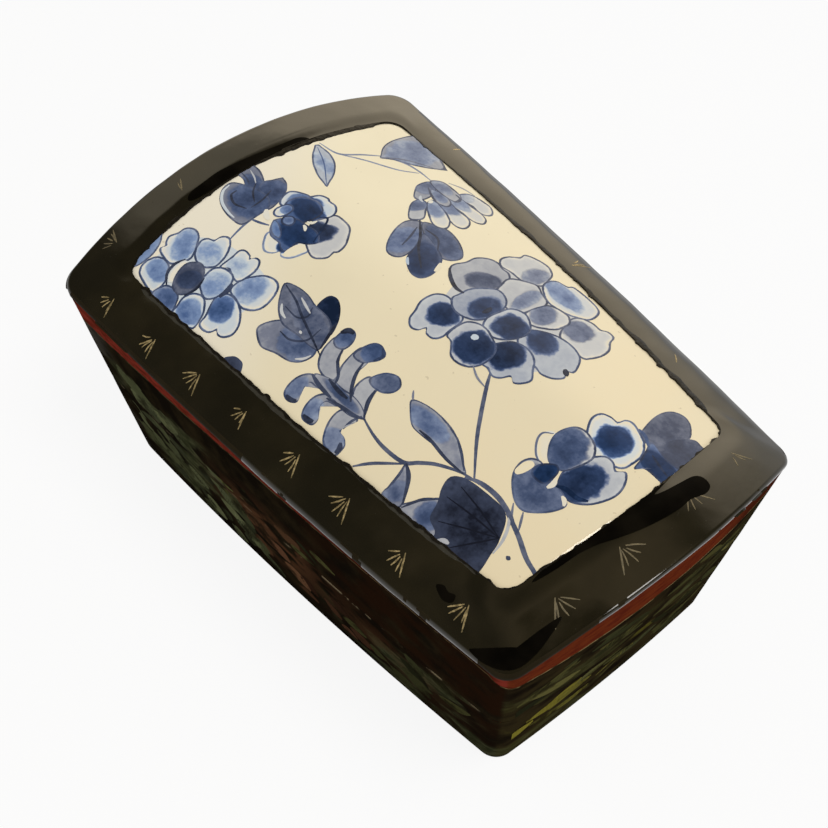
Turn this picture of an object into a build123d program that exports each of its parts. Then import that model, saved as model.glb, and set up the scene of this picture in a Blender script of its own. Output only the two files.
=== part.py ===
from build123d import *
import math
import os

os.makedirs("parts", exist_ok=True)

# A lacquered wooden trinket box with a lift-off lid, whose arched top holds a piece of curved porcelain.
# Millimetres. X runs along the box with the wide end at -X, the front is at -Y, and it stands on Z = 0.

# Outside of the box
rim_length = 124.0  # along X between the rim's corners
wide_width = 89.7  # across the wide end, between the rim's corners
narrow_width = 70.9  # across the narrow end
rim_height = 52.0  # where the corners of the top are
arch_rise = 8.6  # how far the middle of the top stands above its corners
taper = 6.1  # how far each side draws in from the rim to the bottom
corner_radius = 4.0
rim_fillet = 2.2
rim_bows = {"front": 1.5, "narrow_end": 3.35, "back": 1.5, "wide_end": 3.35}
bottom_bows = {"front": 1.7, "narrow_end": 0.9, "back": 1.7, "wide_end": 0.9}

# Boards
wall_thickness = 5.0
floor_thickness = 3.2
seam_height = 25.3  # where the lid rests on the base
rail_thickness = 5.0  # of the frame around the porcelain
ceiling_thickness = 2.4  # of the board behind the porcelain
inner_corner_radius = 1.5

# Lips that keep the lid on the base
lip_height = 6.0  # above the seam
lip_depth = 11.0  # below the seam
lip_thickness = 2.3  # above the seam
lip_clearance = 0.35

# Porcelain and what holds it
front_border = 10.4
back_border = 8.6
wide_border = 9.0
narrow_border = 11.0
panel_bows = {"front": 0.9, "narrow_end": 2.7, "back": 1.4, "wide_end": 3.5}
panel_corner_radius = 5.0
panel_gap = 0.5  # between the porcelain's edge and the rails
shard_thickness = 4.0
bead_height = 0.7  # of the putty bead above the top
bead_outward = 1.6  # how far the bead spreads over the rails
bead_inward = 0.6  # how far it laps over the porcelain

# Reaches of the blocks that cut the pieces, past the outside of the box
hull_top = rim_height + arch_rise + 3
block_reach = rim_length / 2 + 10
mitre_reach = 20

sides = ["front", "narrow_end", "back", "wide_end"]


def half_width(x):
    # Half the width between the rim's corners at a place along the box.
    share = (x + rim_length / 2) / rim_length
    return (wide_width + (narrow_width - wide_width) * share) / 2


def hull_corners(height, inset):
    # Corners of the outside at one height, moved inwards by the inset; the front's come first.
    draw_in = taper * (1 - height / rim_height) + inset
    x = rim_length / 2 - draw_in
    wide_y = wide_width / 2 - draw_in
    narrow_y = narrow_width / 2 - draw_in
    return [(-x, -wide_y), (x, -narrow_y), (x, narrow_y), (-x, wide_y)]


def hull_bows(height):
    # How far each side bows outwards at one height.
    share = height / rim_height
    return [bottom_bows[side] + (rim_bows[side] - bottom_bows[side]) * share for side in sides]


def bowed_outline(corners, bows, radius, height):
    # Four arcs between the corners, each pushed outwards at its middle, with rounded corners.
    with BuildSketch(Plane.XY.offset(height)) as outline:
        with BuildLine():
            for start, end, bow in zip(corners, corners[1:] + corners[:1], bows):
                along = Vector(end[0] - start[0], end[1] - start[1])
                outwards = Vector(along.Y, -along.X).normalized()
                middle = (Vector(*start) + Vector(*end)) * 0.5 + outwards * bow
                ThreePointArc(start, (middle.X, middle.Y), end)
        make_face()
        fillet(outline.vertices(), radius=radius)
    return outline.sketch


def hull_outline(height, inset, radius):
    return bowed_outline(hull_corners(height, inset), hull_bows(height), radius, height)


def panel_outline(height, outwards):
    # The porcelain's outline, grown or shrunk all round.
    wide_x = -rim_length / 2 + wide_border
    narrow_x = rim_length / 2 - narrow_border
    corners = [
        (wide_x - outwards, -half_width(wide_x) + front_border - outwards),
        (narrow_x + outwards, -half_width(narrow_x) + front_border - outwards),
        (narrow_x + outwards, half_width(narrow_x) - back_border + outwards),
        (wide_x - outwards, half_width(wide_x) - back_border + outwards),
    ]
    bows = [panel_bows[side] for side in sides]
    return bowed_outline(corners, bows, panel_corner_radius + outwards, height)


def arch_section(x, drop):
    # Everything under the arched top at one place along the box, lowered by the drop.
    half = half_width(x)
    radius = (half**2 + arch_rise**2) / (2 * arch_rise)
    crown = rim_height + arch_rise - drop
    edge = half + 6
    edge_height = crown - radius + math.sqrt(radius**2 - edge**2)
    with BuildSketch(Plane.YZ.offset(x)) as section:
        with BuildLine():
            ThreePointArc((-edge, edge_height), (0, crown), (edge, edge_height))
            Polyline((edge, edge_height), (edge, -5), (-edge, -5), (-edge, edge_height))
        make_face()
    return section.sketch


def arch_block(drop):
    # The arch is a little tighter at the narrow end, because its rise is the same there.
    with BuildPart() as block:
        add(arch_section(-block_reach, drop))
        add(arch_section(block_reach, drop))
        loft(ruled=True)
    return block.part


def outline_block(outwards):
    # An upright block with the porcelain's outline.
    with BuildPart() as block:
        add(panel_outline(0, outwards))
        extrude(amount=hull_top)
    return block.part


def mitre_block(side):
    # The wedge of the plan that belongs to one side, cut by 45 degree mitres from the corners.
    corners = hull_corners(rim_height, 0)
    outer = [(x + math.copysign(mitre_reach, x), y + math.copysign(mitre_reach, y)) for x, y in corners]
    wide_meet = (-rim_length / 2 + wide_width / 2, 0)
    narrow_meet = (rim_length / 2 - narrow_width / 2, 0)
    plans = {
        "front": [outer[0], outer[1], narrow_meet, wide_meet],
        "narrow_end": [outer[1], outer[2], narrow_meet],
        "back": [outer[2], outer[3], wide_meet, narrow_meet],
        "wide_end": [outer[3], outer[0], wide_meet],
    }
    with BuildPart() as block:
        with BuildSketch(Plane.XY):
            Polygon(*plans[side], align=None)
        extrude(amount=hull_top)
    return block.part


def save(piece, name):
    piece.label = name
    export_step(piece, f"parts/{name}.step")


mitres = {side: mitre_block(side) for side in sides}
below_rails = arch_block(rail_thickness)
below_ceiling = arch_block(rail_thickness + ceiling_thickness)
below_shard = arch_block(shard_thickness)
below_top = arch_block(0)
below_bead = arch_block(-bead_height)

# The whole outside of the closed box, and the hollow inside its walls.
with BuildPart() as hull:
    add(hull_outline(0, 0, corner_radius))
    add(hull_outline(hull_top, 0, corner_radius))
    loft(ruled=True)
    add(below_top, mode=Mode.INTERSECT)
    fillet(hull.faces().sort_by(Axis.Z)[-1].edges(), radius=rim_fillet)

with BuildPart() as hollow:
    add(hull_outline(floor_thickness, wall_thickness, inner_corner_radius))
    add(hull_outline(hull_top, wall_thickness, inner_corner_radius))
    loft(ruled=True)

# Base: a floor board, four mitred walls that stand on it, and four lips inside them.
with BuildPart() as base_floor_board:
    add(hull.part)
    split(bisect_by=Plane.XY.offset(floor_thickness), keep=Keep.BOTTOM)
save(base_floor_board.part, "base_floor_board")

with BuildPart() as base_walls:
    add(hull.part)
    split(bisect_by=Plane.XY.offset(seam_height), keep=Keep.BOTTOM)
    split(bisect_by=Plane.XY.offset(floor_thickness), keep=Keep.TOP)
    add(hollow.part, mode=Mode.SUBTRACT)

for side in sides:
    with BuildPart() as base_wall:
        add(base_walls.part)
        add(mitres[side], mode=Mode.INTERSECT)
    save(base_wall.part, f"base_{side}_wall")

# The lips follow the leaning walls below the seam and stand upright above it, clear of the lid.
lip_bottom = seam_height - lip_depth
lip_outside = wall_thickness + lip_clearance
lip_plan = hull_corners(seam_height, lip_outside + lip_thickness)

with BuildPart() as lip_space:
    add(bowed_outline(lip_plan, hull_bows(seam_height), inner_corner_radius, lip_bottom))
    extrude(amount=lip_depth + lip_height)

with BuildPart() as lips:
    add(hollow.part)
    split(bisect_by=Plane.XY.offset(seam_height), keep=Keep.BOTTOM)
    split(bisect_by=Plane.XY.offset(lip_bottom), keep=Keep.TOP)
    add(hull_outline(seam_height, lip_outside, inner_corner_radius))
    extrude(amount=lip_height)
    add(lip_space.part, mode=Mode.SUBTRACT)

for side in sides:
    with BuildPart() as base_lip:
        add(lips.part)
        add(mitres[side], mode=Mode.INTERSECT)
    save(base_lip.part, f"base_{side}_lip")

# Lid: four mitred walls, four mitred rails on top of them, and a ceiling board between the walls.
with BuildPart() as lid_walls:
    add(hull.part)
    split(bisect_by=Plane.XY.offset(seam_height), keep=Keep.TOP)
    add(below_rails, mode=Mode.INTERSECT)
    add(hollow.part, mode=Mode.SUBTRACT)

for side in sides:
    with BuildPart() as lid_wall:
        add(lid_walls.part)
        add(mitres[side], mode=Mode.INTERSECT)
    save(lid_wall.part, f"lid_{side}_wall")

with BuildPart() as top_rails:
    add(hull.part)
    add(below_rails, mode=Mode.SUBTRACT)
    add(outline_block(panel_gap), mode=Mode.SUBTRACT)

for side in sides:
    with BuildPart() as top_rail:
        add(top_rails.part)
        add(mitres[side], mode=Mode.INTERSECT)
    save(top_rail.part, f"top_{side}_rail")

with BuildPart() as ceiling_board:
    add(hollow.part)
    add(below_rails, mode=Mode.INTERSECT)
    add(below_ceiling, mode=Mode.SUBTRACT)
save(ceiling_board.part, "ceiling_board")

# The porcelain lies on a bed of paste in the frame, and a putty bead closes its edge.
with BuildPart() as bedding_paste:
    add(outline_block(0))
    add(below_shard, mode=Mode.INTERSECT)
    add(below_rails, mode=Mode.SUBTRACT)
save(bedding_paste.part, "bedding_paste")

with BuildPart() as porcelain_shard:
    add(outline_block(0))
    add(below_top, mode=Mode.INTERSECT)
    add(below_shard, mode=Mode.SUBTRACT)
save(porcelain_shard.part, "porcelain_shard")

with BuildPart() as putty_bead:
    add(outline_block(bead_outward))
    add(outline_block(-bead_inward), mode=Mode.SUBTRACT)
    add(below_bead, mode=Mode.INTERSECT)
    add(below_top, mode=Mode.SUBTRACT)
save(putty_bead.part, "putty_bead")
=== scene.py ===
import bpy
import math
import random
import numpy as np
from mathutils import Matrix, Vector, noise
from mathutils.bvhtree import BVHTree


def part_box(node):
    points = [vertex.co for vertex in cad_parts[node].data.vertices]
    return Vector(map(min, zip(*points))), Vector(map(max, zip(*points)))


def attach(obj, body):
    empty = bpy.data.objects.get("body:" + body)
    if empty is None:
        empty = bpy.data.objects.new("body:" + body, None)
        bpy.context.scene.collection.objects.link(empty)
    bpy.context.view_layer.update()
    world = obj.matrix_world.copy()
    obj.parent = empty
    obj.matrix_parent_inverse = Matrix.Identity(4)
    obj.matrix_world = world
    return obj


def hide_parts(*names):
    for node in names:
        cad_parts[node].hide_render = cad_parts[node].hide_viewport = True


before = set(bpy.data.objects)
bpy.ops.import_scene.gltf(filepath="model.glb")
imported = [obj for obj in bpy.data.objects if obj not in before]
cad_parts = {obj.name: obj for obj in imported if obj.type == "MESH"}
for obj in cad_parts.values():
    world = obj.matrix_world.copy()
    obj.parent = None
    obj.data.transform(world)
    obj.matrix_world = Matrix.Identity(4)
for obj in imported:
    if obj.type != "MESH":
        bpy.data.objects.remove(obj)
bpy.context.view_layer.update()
mm = 0.001

# the outside of the closed box; sides run front, narrow end, back, wide end
boxShape = {
    "rimLength": 124 * mm,
    "wideWidth": 89.7 * mm,
    "narrowWidth": 70.9 * mm,
    "rimHeight": 52 * mm,
    "archRise": 8.6 * mm,
    "taper": 6.1 * mm,
    "cornerRadius": 4 * mm,
    "rimBows": (1.5 * mm, 3.35 * mm, 1.5 * mm, 3.35 * mm),
    "footBows": (1.7 * mm, 0.9 * mm, 1.7 * mm, 0.9 * mm),
    "seam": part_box("lid_front_wall")[0].z,
    "floorTop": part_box("base_floor_board")[1].z,
}
sideSteps = (150, 104, 150, 104)   # points along each side
cornerSteps = 11                   # points round each corner
creaseAngle = math.radians(40)     # edges sharper than this stay crisp


def deselectAll():
    if bpy.context.object and bpy.context.object.mode != "OBJECT":
        bpy.ops.object.mode_set(mode="OBJECT")
    bpy.ops.object.select_all(action="DESELECT")


def pickOnly(piece):
    deselectAll()
    piece.select_set(True)
    bpy.context.view_layer.objects.active = piece


def finishPiece(piece, body, material, slotName, *replaced):
    piece.data.materials.clear()
    piece.data.materials.append(material)
    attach(piece, body)
    if replaced:
        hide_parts(*replaced)


def gridPiece(name, rows):
    # a grid primitive, its points then moved to their places: rows has the shape (rows, columns, 3)
    rowCount, columnCount = rows.shape[:2]
    deselectAll()
    bpy.ops.mesh.primitive_grid_add(x_subdivisions=columnCount - 1, y_subdivisions=rowCount - 1, size=0.1)
    piece = bpy.context.object
    piece.name = piece.data.name = name
    piece.data.vertices.foreach_set("co", rows.reshape(-1).astype(np.float32))
    piece.data.update()
    return piece


def stripsPiece(name, strips):
    # many separate strips from one grid: strips has the shape (strips, rows, columns, 3)
    count, rowCount, columnCount = strips.shape[:3]
    piece = gridPiece(name, strips.reshape(count * rowCount, columnCount, 3))
    joins = np.repeat(np.arange(count * rowCount - 1) % rowCount == rowCount - 1, columnCount - 1)
    for element in (piece.data.vertices, piece.data.edges):
        element.foreach_set("select", np.zeros(len(element), bool))
    piece.data.polygons.foreach_set("select", joins)
    pickOnly(piece)
    bpy.ops.object.mode_set(mode="EDIT")
    bpy.ops.mesh.select_mode(type="FACE")
    bpy.ops.mesh.delete(type="ONLY_FACE")
    bpy.ops.mesh.select_mode(type="VERT")
    bpy.ops.object.mode_set(mode="OBJECT")
    return piece


def readPoints(piece):
    points = np.zeros(len(piece.data.vertices) * 3, np.float32)
    piece.data.vertices.foreach_get("co", points)
    return points.reshape(-1, 3).astype(float)


def writePoints(piece, points):
    piece.data.vertices.foreach_set("co", points.reshape(-1).astype(np.float32))
    piece.data.update()


def readNormals(piece):
    normals = np.zeros(len(piece.data.vertices) * 3, np.float32)
    piece.data.vertex_normals.foreach_get("vector", normals)
    return normals.reshape(-1, 3).astype(float)


def pointValue(piece, name, values):
    attribute = piece.data.attributes.new(name, "FLOAT", "POINT")
    attribute.data.foreach_set("value", np.asarray(values, np.float32).reshape(-1))


def tidyMesh(piece, apart=0.01 * mm):
    # merge doubles, face outwards, then smooth shading
    pickOnly(piece)
    bpy.ops.object.mode_set(mode="EDIT")
    bpy.ops.mesh.select_all(action="SELECT")
    bpy.ops.mesh.remove_doubles(threshold=apart)
    bpy.ops.mesh.normals_make_consistent(inside=False)
    bpy.ops.object.mode_set(mode="OBJECT")
    bpy.ops.object.shade_smooth()


def thicken(piece, depth):
    # a wall of the given depth under the surface, applied, with its edges kept crisp
    solid = piece.modifiers.new("thickness", "SOLIDIFY")
    solid.thickness = depth
    solid.offset = -1
    pickOnly(piece)
    bpy.ops.object.modifier_apply(modifier=solid.name)
    bpy.ops.object.shade_smooth_by_angle(angle=creaseAngle)


def joinPieces(pieces, name):
    deselectAll()
    for piece in pieces:
        piece.select_set(True)
    bpy.context.view_layer.objects.active = pieces[0]
    bpy.ops.object.join()
    joined = bpy.context.object
    joined.name = joined.data.name = name
    return joined


def softNoise(points, scale, seed=0.0):
    shift = Vector((seed * 7.31, seed * 3.17, seed * 5.77))
    return np.array([noise.noise(Vector(p) * scale + shift) for p in points])


def steps(low, high, value):
    # 0 at low, 1 at high, smooth between
    t = np.clip((value - low) / (high - low), 0, 1)
    return t * t * (3 - 2 * t)


# the box's outside as a formula

def sideCorners(height, inset=0.0):
    drawIn = boxShape["taper"] * (1 - height / boxShape["rimHeight"]) + inset
    x = boxShape["rimLength"] / 2 - drawIn
    wide = boxShape["wideWidth"] / 2 - drawIn
    narrow = boxShape["narrowWidth"] / 2 - drawIn
    return [(-x, -wide), (x, -narrow), (x, narrow), (-x, wide)]


def roundedRing(corners, bows, radius):
    # bowed sides with rounded corners; every outline has the same number of points, so they can be joined
    corners = [np.array(corner) for corner in corners]
    circles = []
    for start, end, bow in zip(corners, corners[1:] + corners[:1], bows):
        along = end - start
        length = np.linalg.norm(along)
        outwards = np.array((along[1], -along[0])) / length
        arcRadius = (length ** 2 / 4 + bow ** 2) / (2 * bow)
        circles.append(((start + end) / 2 - outwards * (arcRadius - bow), arcRadius))
    middles = []
    for i, corner in enumerate(corners):
        (first, firstRadius), (second, secondRadius) = circles[i - 1], circles[i]
        inner, following = firstRadius - radius, secondRadius - radius
        apart = np.linalg.norm(second - first)
        towards = (second - first) / apart
        reach = (inner ** 2 - following ** 2 + apart ** 2) / (2 * apart)
        aside = np.array((-towards[1], towards[0])) * math.sqrt(inner ** 2 - reach ** 2)
        meets = [first + towards * reach + aside * sign for sign in (1, -1)]
        middles.append(min(meets, key=lambda meet: np.linalg.norm(meet - corner)))
    points, facings = [], []
    for i, (centre, arcRadius) in enumerate(circles):
        start, end = middles[i], middles[(i + 1) % 4]
        first = math.atan2(*(start - centre)[::-1])
        sweep = (math.atan2(*(end - centre)[::-1]) - first) % math.tau
        angles = first + sweep * np.linspace(0, 1, sideSteps[i])
        facing = np.stack((np.cos(angles), np.sin(angles)), 1)
        following = end - circles[(i + 1) % 4][0]
        turn = (math.atan2(following[1], following[0]) - angles[-1]) % math.tau
        cornerAngles = angles[-1] + turn * np.arange(1, cornerSteps + 1) / (cornerSteps + 1)
        corner = np.stack((np.cos(cornerAngles), np.sin(cornerAngles)), 1)
        points += [centre + facing * arcRadius, end + corner * radius]
        facings += [facing, corner]
    return np.concatenate(points), np.concatenate(facings)


footRing, _ = roundedRing(sideCorners(0), boxShape["footBows"], boxShape["cornerRadius"])
rimCorners = sideCorners(boxShape["rimHeight"])
rimRing, rimFacing = roundedRing(rimCorners, boxShape["rimBows"], boxShape["cornerRadius"])
ringCount = len(rimRing)
ringSide = np.concatenate([np.full(count + cornerSteps, side) for side, count in enumerate(sideSteps)])


def hullRing(heights, proud=0.0):
    # the outside's outline, each point at its own height, stood proud of the wood
    share = (np.asarray(heights) / boxShape["rimHeight"])[..., None]
    return footRing + (rimRing - footRing) * share + rimFacing * proud


def halfWidth(x):
    share = (x + boxShape["rimLength"] / 2) / boxShape["rimLength"]
    return (boxShape["wideWidth"] + (boxShape["narrowWidth"] - boxShape["wideWidth"]) * share) / 2


def archHeight(x, y):
    radius = (halfWidth(x) ** 2 + boxShape["archRise"] ** 2) / (2 * boxShape["archRise"])
    crown = boxShape["rimHeight"] + boxShape["archRise"]
    return crown - radius + np.sqrt(radius ** 2 - np.minimum(np.abs(y), radius * 0.99) ** 2)


panelShape = {
    "frontBorder": 10.4 * mm,
    "backBorder": 8.6 * mm,
    "wideBorder": 9 * mm,
    "narrowBorder": 11 * mm,
    "bows": (0.9 * mm, 2.7 * mm, 2.4 * mm, 3.6 * mm),
    "cornerRadius": 3.2 * mm,
}


def panelRing(outwards=0.0):
    s = panelShape
    wideX = -boxShape["rimLength"] / 2 + s["wideBorder"]
    narrowX = boxShape["rimLength"] / 2 - s["narrowBorder"]
    corners = [
        (wideX, -halfWidth(wideX) + s["frontBorder"]),
        (narrowX, -halfWidth(narrowX) + s["frontBorder"]),
        (narrowX, halfWidth(narrowX) - s["backBorder"]),
        (wideX, halfWidth(wideX) - s["backBorder"]),
    ]
    ring, facing = roundedRing(corners, s["bows"], s["cornerRadius"])
    return ring + facing * outwards, facing


def closeRing(rows):
    return np.concatenate((rows, rows[:, :1]), 1)


print("outlines ready:", ringCount, "points round the box")


# short ways to lay out shader nodes

def newMaterial(name, roughness=0.3, **sockets):
    material = bpy.data.materials.new(name)
    material.use_nodes = True
    shader = material.node_tree.nodes["Principled BSDF"]
    shader.inputs["Roughness"].default_value = roughness
    for socket, value in sockets.items():
        shader.inputs[socket.replace("_", " ")].default_value = value
    return material, material.node_tree, shader


def addNode(tree, kind, **settings):
    node = tree.nodes.new("ShaderNode" + kind)
    for name, value in settings.items():
        if name in node.inputs and not hasattr(type(node), name):
            node.inputs[name].default_value = value
        else:
            setattr(node, name, value)
    return node


def feed(tree, socket, value):
    # a socket is linked to, a number or colour is set
    if isinstance(value, bpy.types.NodeSocket):
        tree.links.new(value, socket)
    elif value is not None:
        socket.default_value = (*value, 1) if isinstance(value, tuple) and len(value) == 3 else value


def sums(tree, operation, first, second=None, third=None, clamp=False):
    node = addNode(tree, "Math", operation=operation, use_clamp=clamp)
    for socket, value in zip(node.inputs, (first, second, third)):
        feed(tree, socket, value)
    return node.outputs[0]


def between(tree, value, low, high, toLow=0.0, toHigh=1.0):
    node = addNode(tree, "MapRange", interpolation_type="SMOOTHSTEP")
    feed(tree, node.inputs["Value"], value)
    feed(tree, node.inputs["From Min"], low)
    feed(tree, node.inputs["From Max"], high)
    feed(tree, node.inputs["To Min"], toLow)
    feed(tree, node.inputs["To Max"], toHigh)
    return node.outputs[0]


def blendColours(tree, factor, first, second, mode="MIX"):
    node = addNode(tree, "Mix", data_type="RGBA", blend_type=mode)
    feed(tree, node.inputs[0], factor)
    feed(tree, node.inputs[6], first)
    feed(tree, node.inputs[7], second)
    return node.outputs[2]


def blendNumbers(tree, factor, first, second):
    node = addNode(tree, "Mix", data_type="FLOAT")
    feed(tree, node.inputs[0], factor)
    feed(tree, node.inputs[2], first)
    feed(tree, node.inputs[3], second)
    return node.outputs[0]


def pattern(tree, scale, detail=2.0, roughness=0.5, stretch=(1, 1, 1), shift=(0, 0, 0), distortion=0.0):
    # noise on the piece's own coordinates; scale is in waves for each metre
    place = addNode(tree, "TexCoord")
    mapping = addNode(tree, "Mapping")
    feed(tree, mapping.inputs["Vector"], place.outputs["Object"])
    mapping.inputs["Scale"].default_value = stretch
    mapping.inputs["Location"].default_value = shift
    texture = addNode(tree, "TexNoise")
    feed(tree, texture.inputs["Vector"], mapping.outputs[0])
    texture.inputs["Scale"].default_value = scale
    texture.inputs["Detail"].default_value = detail
    texture.inputs["Roughness"].default_value = roughness
    texture.inputs["Distortion"].default_value = distortion
    return texture.outputs["Fac"]


def meshValue(tree, name):
    return addNode(tree, "Attribute", attribute_name=name).outputs["Fac"]


def ramp(tree, value, stops):
    node = addNode(tree, "ValToRGB")
    elements = node.color_ramp.elements
    elements[0].position, elements[0].color = stops[0][0], (*stops[0][1], 1)
    elements[1].position, elements[1].color = stops[-1][0], (*stops[-1][1], 1)
    for position, colour in stops[1:-1]:
        elements.new(position).color = (*colour, 1)
    feed(tree, node.inputs[0], value)
    return node.outputs[0]


def bumpFrom(tree, shader, height, strength, distance):
    bump = addNode(tree, "Bump")
    bump.inputs["Strength"].default_value = strength
    bump.inputs["Distance"].default_value = distance
    feed(tree, bump.inputs["Height"], height)
    feed(tree, shader.inputs["Normal"], bump.outputs[0])


def newGroup(name, inputs, outputs):
    # an effect that several materials share; each input is (name, kind, default)
    group = bpy.data.node_groups.new(name, "ShaderNodeTree")
    for title, kind, value in inputs:
        socket = group.interface.new_socket(title, in_out="INPUT", socket_type="NodeSocket" + kind)
        socket.default_value = value
    for title, kind in outputs:
        group.interface.new_socket(title, in_out="OUTPUT", socket_type="NodeSocket" + kind)
    return group, group.nodes.new("NodeGroupInput"), group.nodes.new("NodeGroupOutput")


def useGroup(tree, group, **values):
    node = addNode(tree, "Group", node_tree=group)
    for title, value in values.items():
        feed(tree, node.inputs[title], value)
    return node


# lacquer coats over the wood
coatShape = {
    "proud": 0.22 * mm,          # outside of the side coats above the wood
    "topProud": 0.4 * mm,
    "thickness": 0.36 * mm,
    "seamGap": 0.13 * mm,
    "footGap": 0.5 * mm,
    "edgeRound": 0.5 * mm,
    "rimRound": 0.95 * mm,       # how far the rim's rounding reaches
    "overhang": 0.12 * mm,       # how far the top coat runs down the wall below the rounding
    "wallRows": 28,
    "rimRows": 9,
    "borderRows": 26,
    "swell": 0.28 * mm,          # the border's soft pillow
    "ridge": 0.75 * mm,          # at the ends it climbs towards the porcelain
    "trough": 0.12 * mm,         # and sinks a little beside it
    "raggedness": (0.1 * mm, 0.12 * mm),
    "unevenness": 0.15 * mm,
    "sideUnevenness": 0.1 * mm,
}


def rimHeights(proud):
    heights = np.full(ringCount, boxShape["rimHeight"])
    for _ in range(4):
        places = hullRing(heights, proud)
        heights = archHeight(places[:, 0], places[:, 1]) + proud
    return heights


def wallRows(low, high, count, proud, roundLow, roundHigh):
    # rows up the walls between two heights, with the chosen ends rounded in
    shares = 0.5 - 0.5 * np.cos(np.linspace(0, math.pi, count))
    shares = shares * 0.5 + np.linspace(0, 1, count) * 0.5
    rows = []
    for share in shares:
        heights = low + (high - low) * share + np.zeros(ringCount)
        fromLow = np.clip(1 - (heights - low) / coatShape["edgeRound"], 0, 1) * roundLow
        fromHigh = np.clip(1 - (high - heights) / coatShape["edgeRound"], 0, 1) * roundHigh
        drawIn = (fromLow ** 2 + fromHigh ** 2) * coatShape["proud"] * 0.8
        rows.append(np.column_stack((hullRing(heights, 0) + rimFacing * (proud - drawIn)[:, None], heights)))
    return rows


def makeTopCoat():
    s = coatShape
    rim = rimHeights(s["topProud"])
    edge = np.column_stack((hullRing(rim, s["topProud"]), rim))
    ragged = softNoise(edge, 260, 3) * s["raggedness"][0] + softNoise(edge, 90, 4) * s["raggedness"][1]
    low = rim - s["rimRound"] - s["overhang"] + ragged
    rows = []
    for share in np.linspace(0, 1, 5):
        heights = low + (rim - s["rimRound"] - low) * share
        proud = s["topProud"] - (0.1 * mm if share == 0 else 0)
        rows.append(np.column_stack((hullRing(heights, proud), heights)))
    wallEnd = rows[-1]
    # over the rounded rim, then across the border to the porcelain
    panel, _ = panelRing(0.5 * mm)
    across = panel - edge[:, :2]
    width = np.linalg.norm(across, axis=1)[:, None]
    topPlan = edge[:, :2] + across / width * s["rimRound"]
    top = np.column_stack((topPlan, archHeight(topPlan[:, 0], topPlan[:, 1]) + s["topProud"]))
    for share in np.linspace(0, 1, s["rimRows"] + 1)[1:]:
        rows.append((1 - share) ** 2 * wallEnd + 2 * share * (1 - share) * edge + share ** 2 * top)
    onEnds = steps(52 * mm, 58 * mm, np.abs(edge[:, 0]))
    for share in np.linspace(0, 1, s["borderRows"] + 1)[1:]:
        plan = topPlan + (panel - topPlan) * share
        soft = s["swell"] * math.sin(math.pi * share ** 0.75) ** 0.8 if share < 1 else 0
        ridge = s["ridge"] * share * (1 - 0.55 * steps(0.62, 1.0, share))
        swell = soft + (ridge - soft) * onEnds - s["trough"] * share ** 4
        rows.append(np.column_stack((plan, archHeight(plan[:, 0], plan[:, 1]) + s["topProud"] + swell)))
    coat = gridPiece("lid_top_coat", closeRing(np.array(rows)))
    # how much of the rim is rubbed matt: most along the front, less at the narrow end
    x, y = edge[:, 0] / mm, edge[:, 1] / mm
    t = edge[:, 0] / boxShape["rimLength"] + 0.5
    front = (y < 0) * (np.abs(x) < 59) * (1 - 0.56 * steps(0.44, 0.48, t))
    corner = steps(54, 58, x) * steps(-14, -22, y)
    worn = np.maximum(front + 0.42 * (x > 59), corner) - 0.02
    share = np.clip(s["rimRows"] + 4 - np.arange(len(rows)), 0, 1)
    pointValue(coat, "dull", share[:, None] * np.append(worn, worn[0])[None])
    tidyMesh(coat)
    points, normals = readPoints(coat), readNormals(coat)
    pointValue(coat, "rubbed", softNoise(points, 330, 11) * 0.6 + softNoise(points, 130, 13) * 0.4)
    wave = softNoise(points, 70, 1) * 0.9 + softNoise(points, 190, 2) * 0.35
    writePoints(coat, points + normals * (wave * s["unevenness"])[:, None])
    thicken(coat, s["thickness"])
    return coat


def makeSideCoat(name, low, high, roundLow, roundHigh, seed):
    s = coatShape
    rows = wallRows(low, high, s["wallRows"], s["proud"], roundLow, roundHigh)
    coat = gridPiece(name, closeRing(np.array(rows)))
    tidyMesh(coat)
    points, normals = readPoints(coat), readNormals(coat)
    wave = softNoise(points, 60, seed) * 0.7 + softNoise(points, 230, seed + 1) * 0.25
    fade = np.clip(np.minimum(points[:, 2] - low.min(), high.max() - points[:, 2]) / (4 * mm), 0, 1)
    writePoints(coat, points + normals * (wave * fade * s["sideUnevenness"])[:, None])
    thicken(coat, s["thickness"])
    return coat


topCoat = makeTopCoat()
flat = np.ones(ringCount)
aboveSeam = boxShape["seam"] + coatShape["seamGap"]
belowSeam = boxShape["seam"] - coatShape["seamGap"]
underRim = rimHeights(coatShape["proud"]) - coatShape["rimRound"] - 0.05 * mm
lidSideCoat = makeSideCoat("lid_side_coat", flat * aboveSeam, underRim, 1, 0, 5)
baseSideCoat = makeSideCoat("base_side_coat", flat * coatShape["footGap"], flat * belowSeam, 0.6, 1, 8)
print("lacquer coats made")


# the porcelain panel and the putty line round it
porcelainShape = {
    "lift": 0.3 * mm,
    "under": 0.5 * mm,           # how far the panel runs under the putty
    "edgeRound": 1.1 * mm,
    "edgeDrop": 0.3 * mm,
    "waviness": 0.09 * mm,
    "thickness": 3.6 * mm,
}


def surfaceHeight(x, y):
    # the glazed face, a little wavy
    places = np.column_stack((x, y, np.zeros_like(x)))
    return archHeight(x, y) + porcelainShape["lift"] + softNoise(places, 34, 9) * porcelainShape["waviness"]


def outlineDistance(x, y, ring):
    # how far inside the ring each place lies; negative outside
    places = np.column_stack((x, y))
    nearest = np.empty(len(places), int)
    for first in range(0, len(places), 4000):
        part = places[first:first + 4000]
        nearest[first:first + 4000] = ((part[:, None] - ring[None]) ** 2).sum(2).argmin(1)
    following = ring[(nearest + 1) % len(ring)] - ring[nearest - 1]
    outwards = np.column_stack((following[:, 1], -following[:, 0]))
    outwards /= np.linalg.norm(outwards, axis=1)[:, None]
    return -((places - ring[nearest]) * outwards).sum(1), outwards


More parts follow.
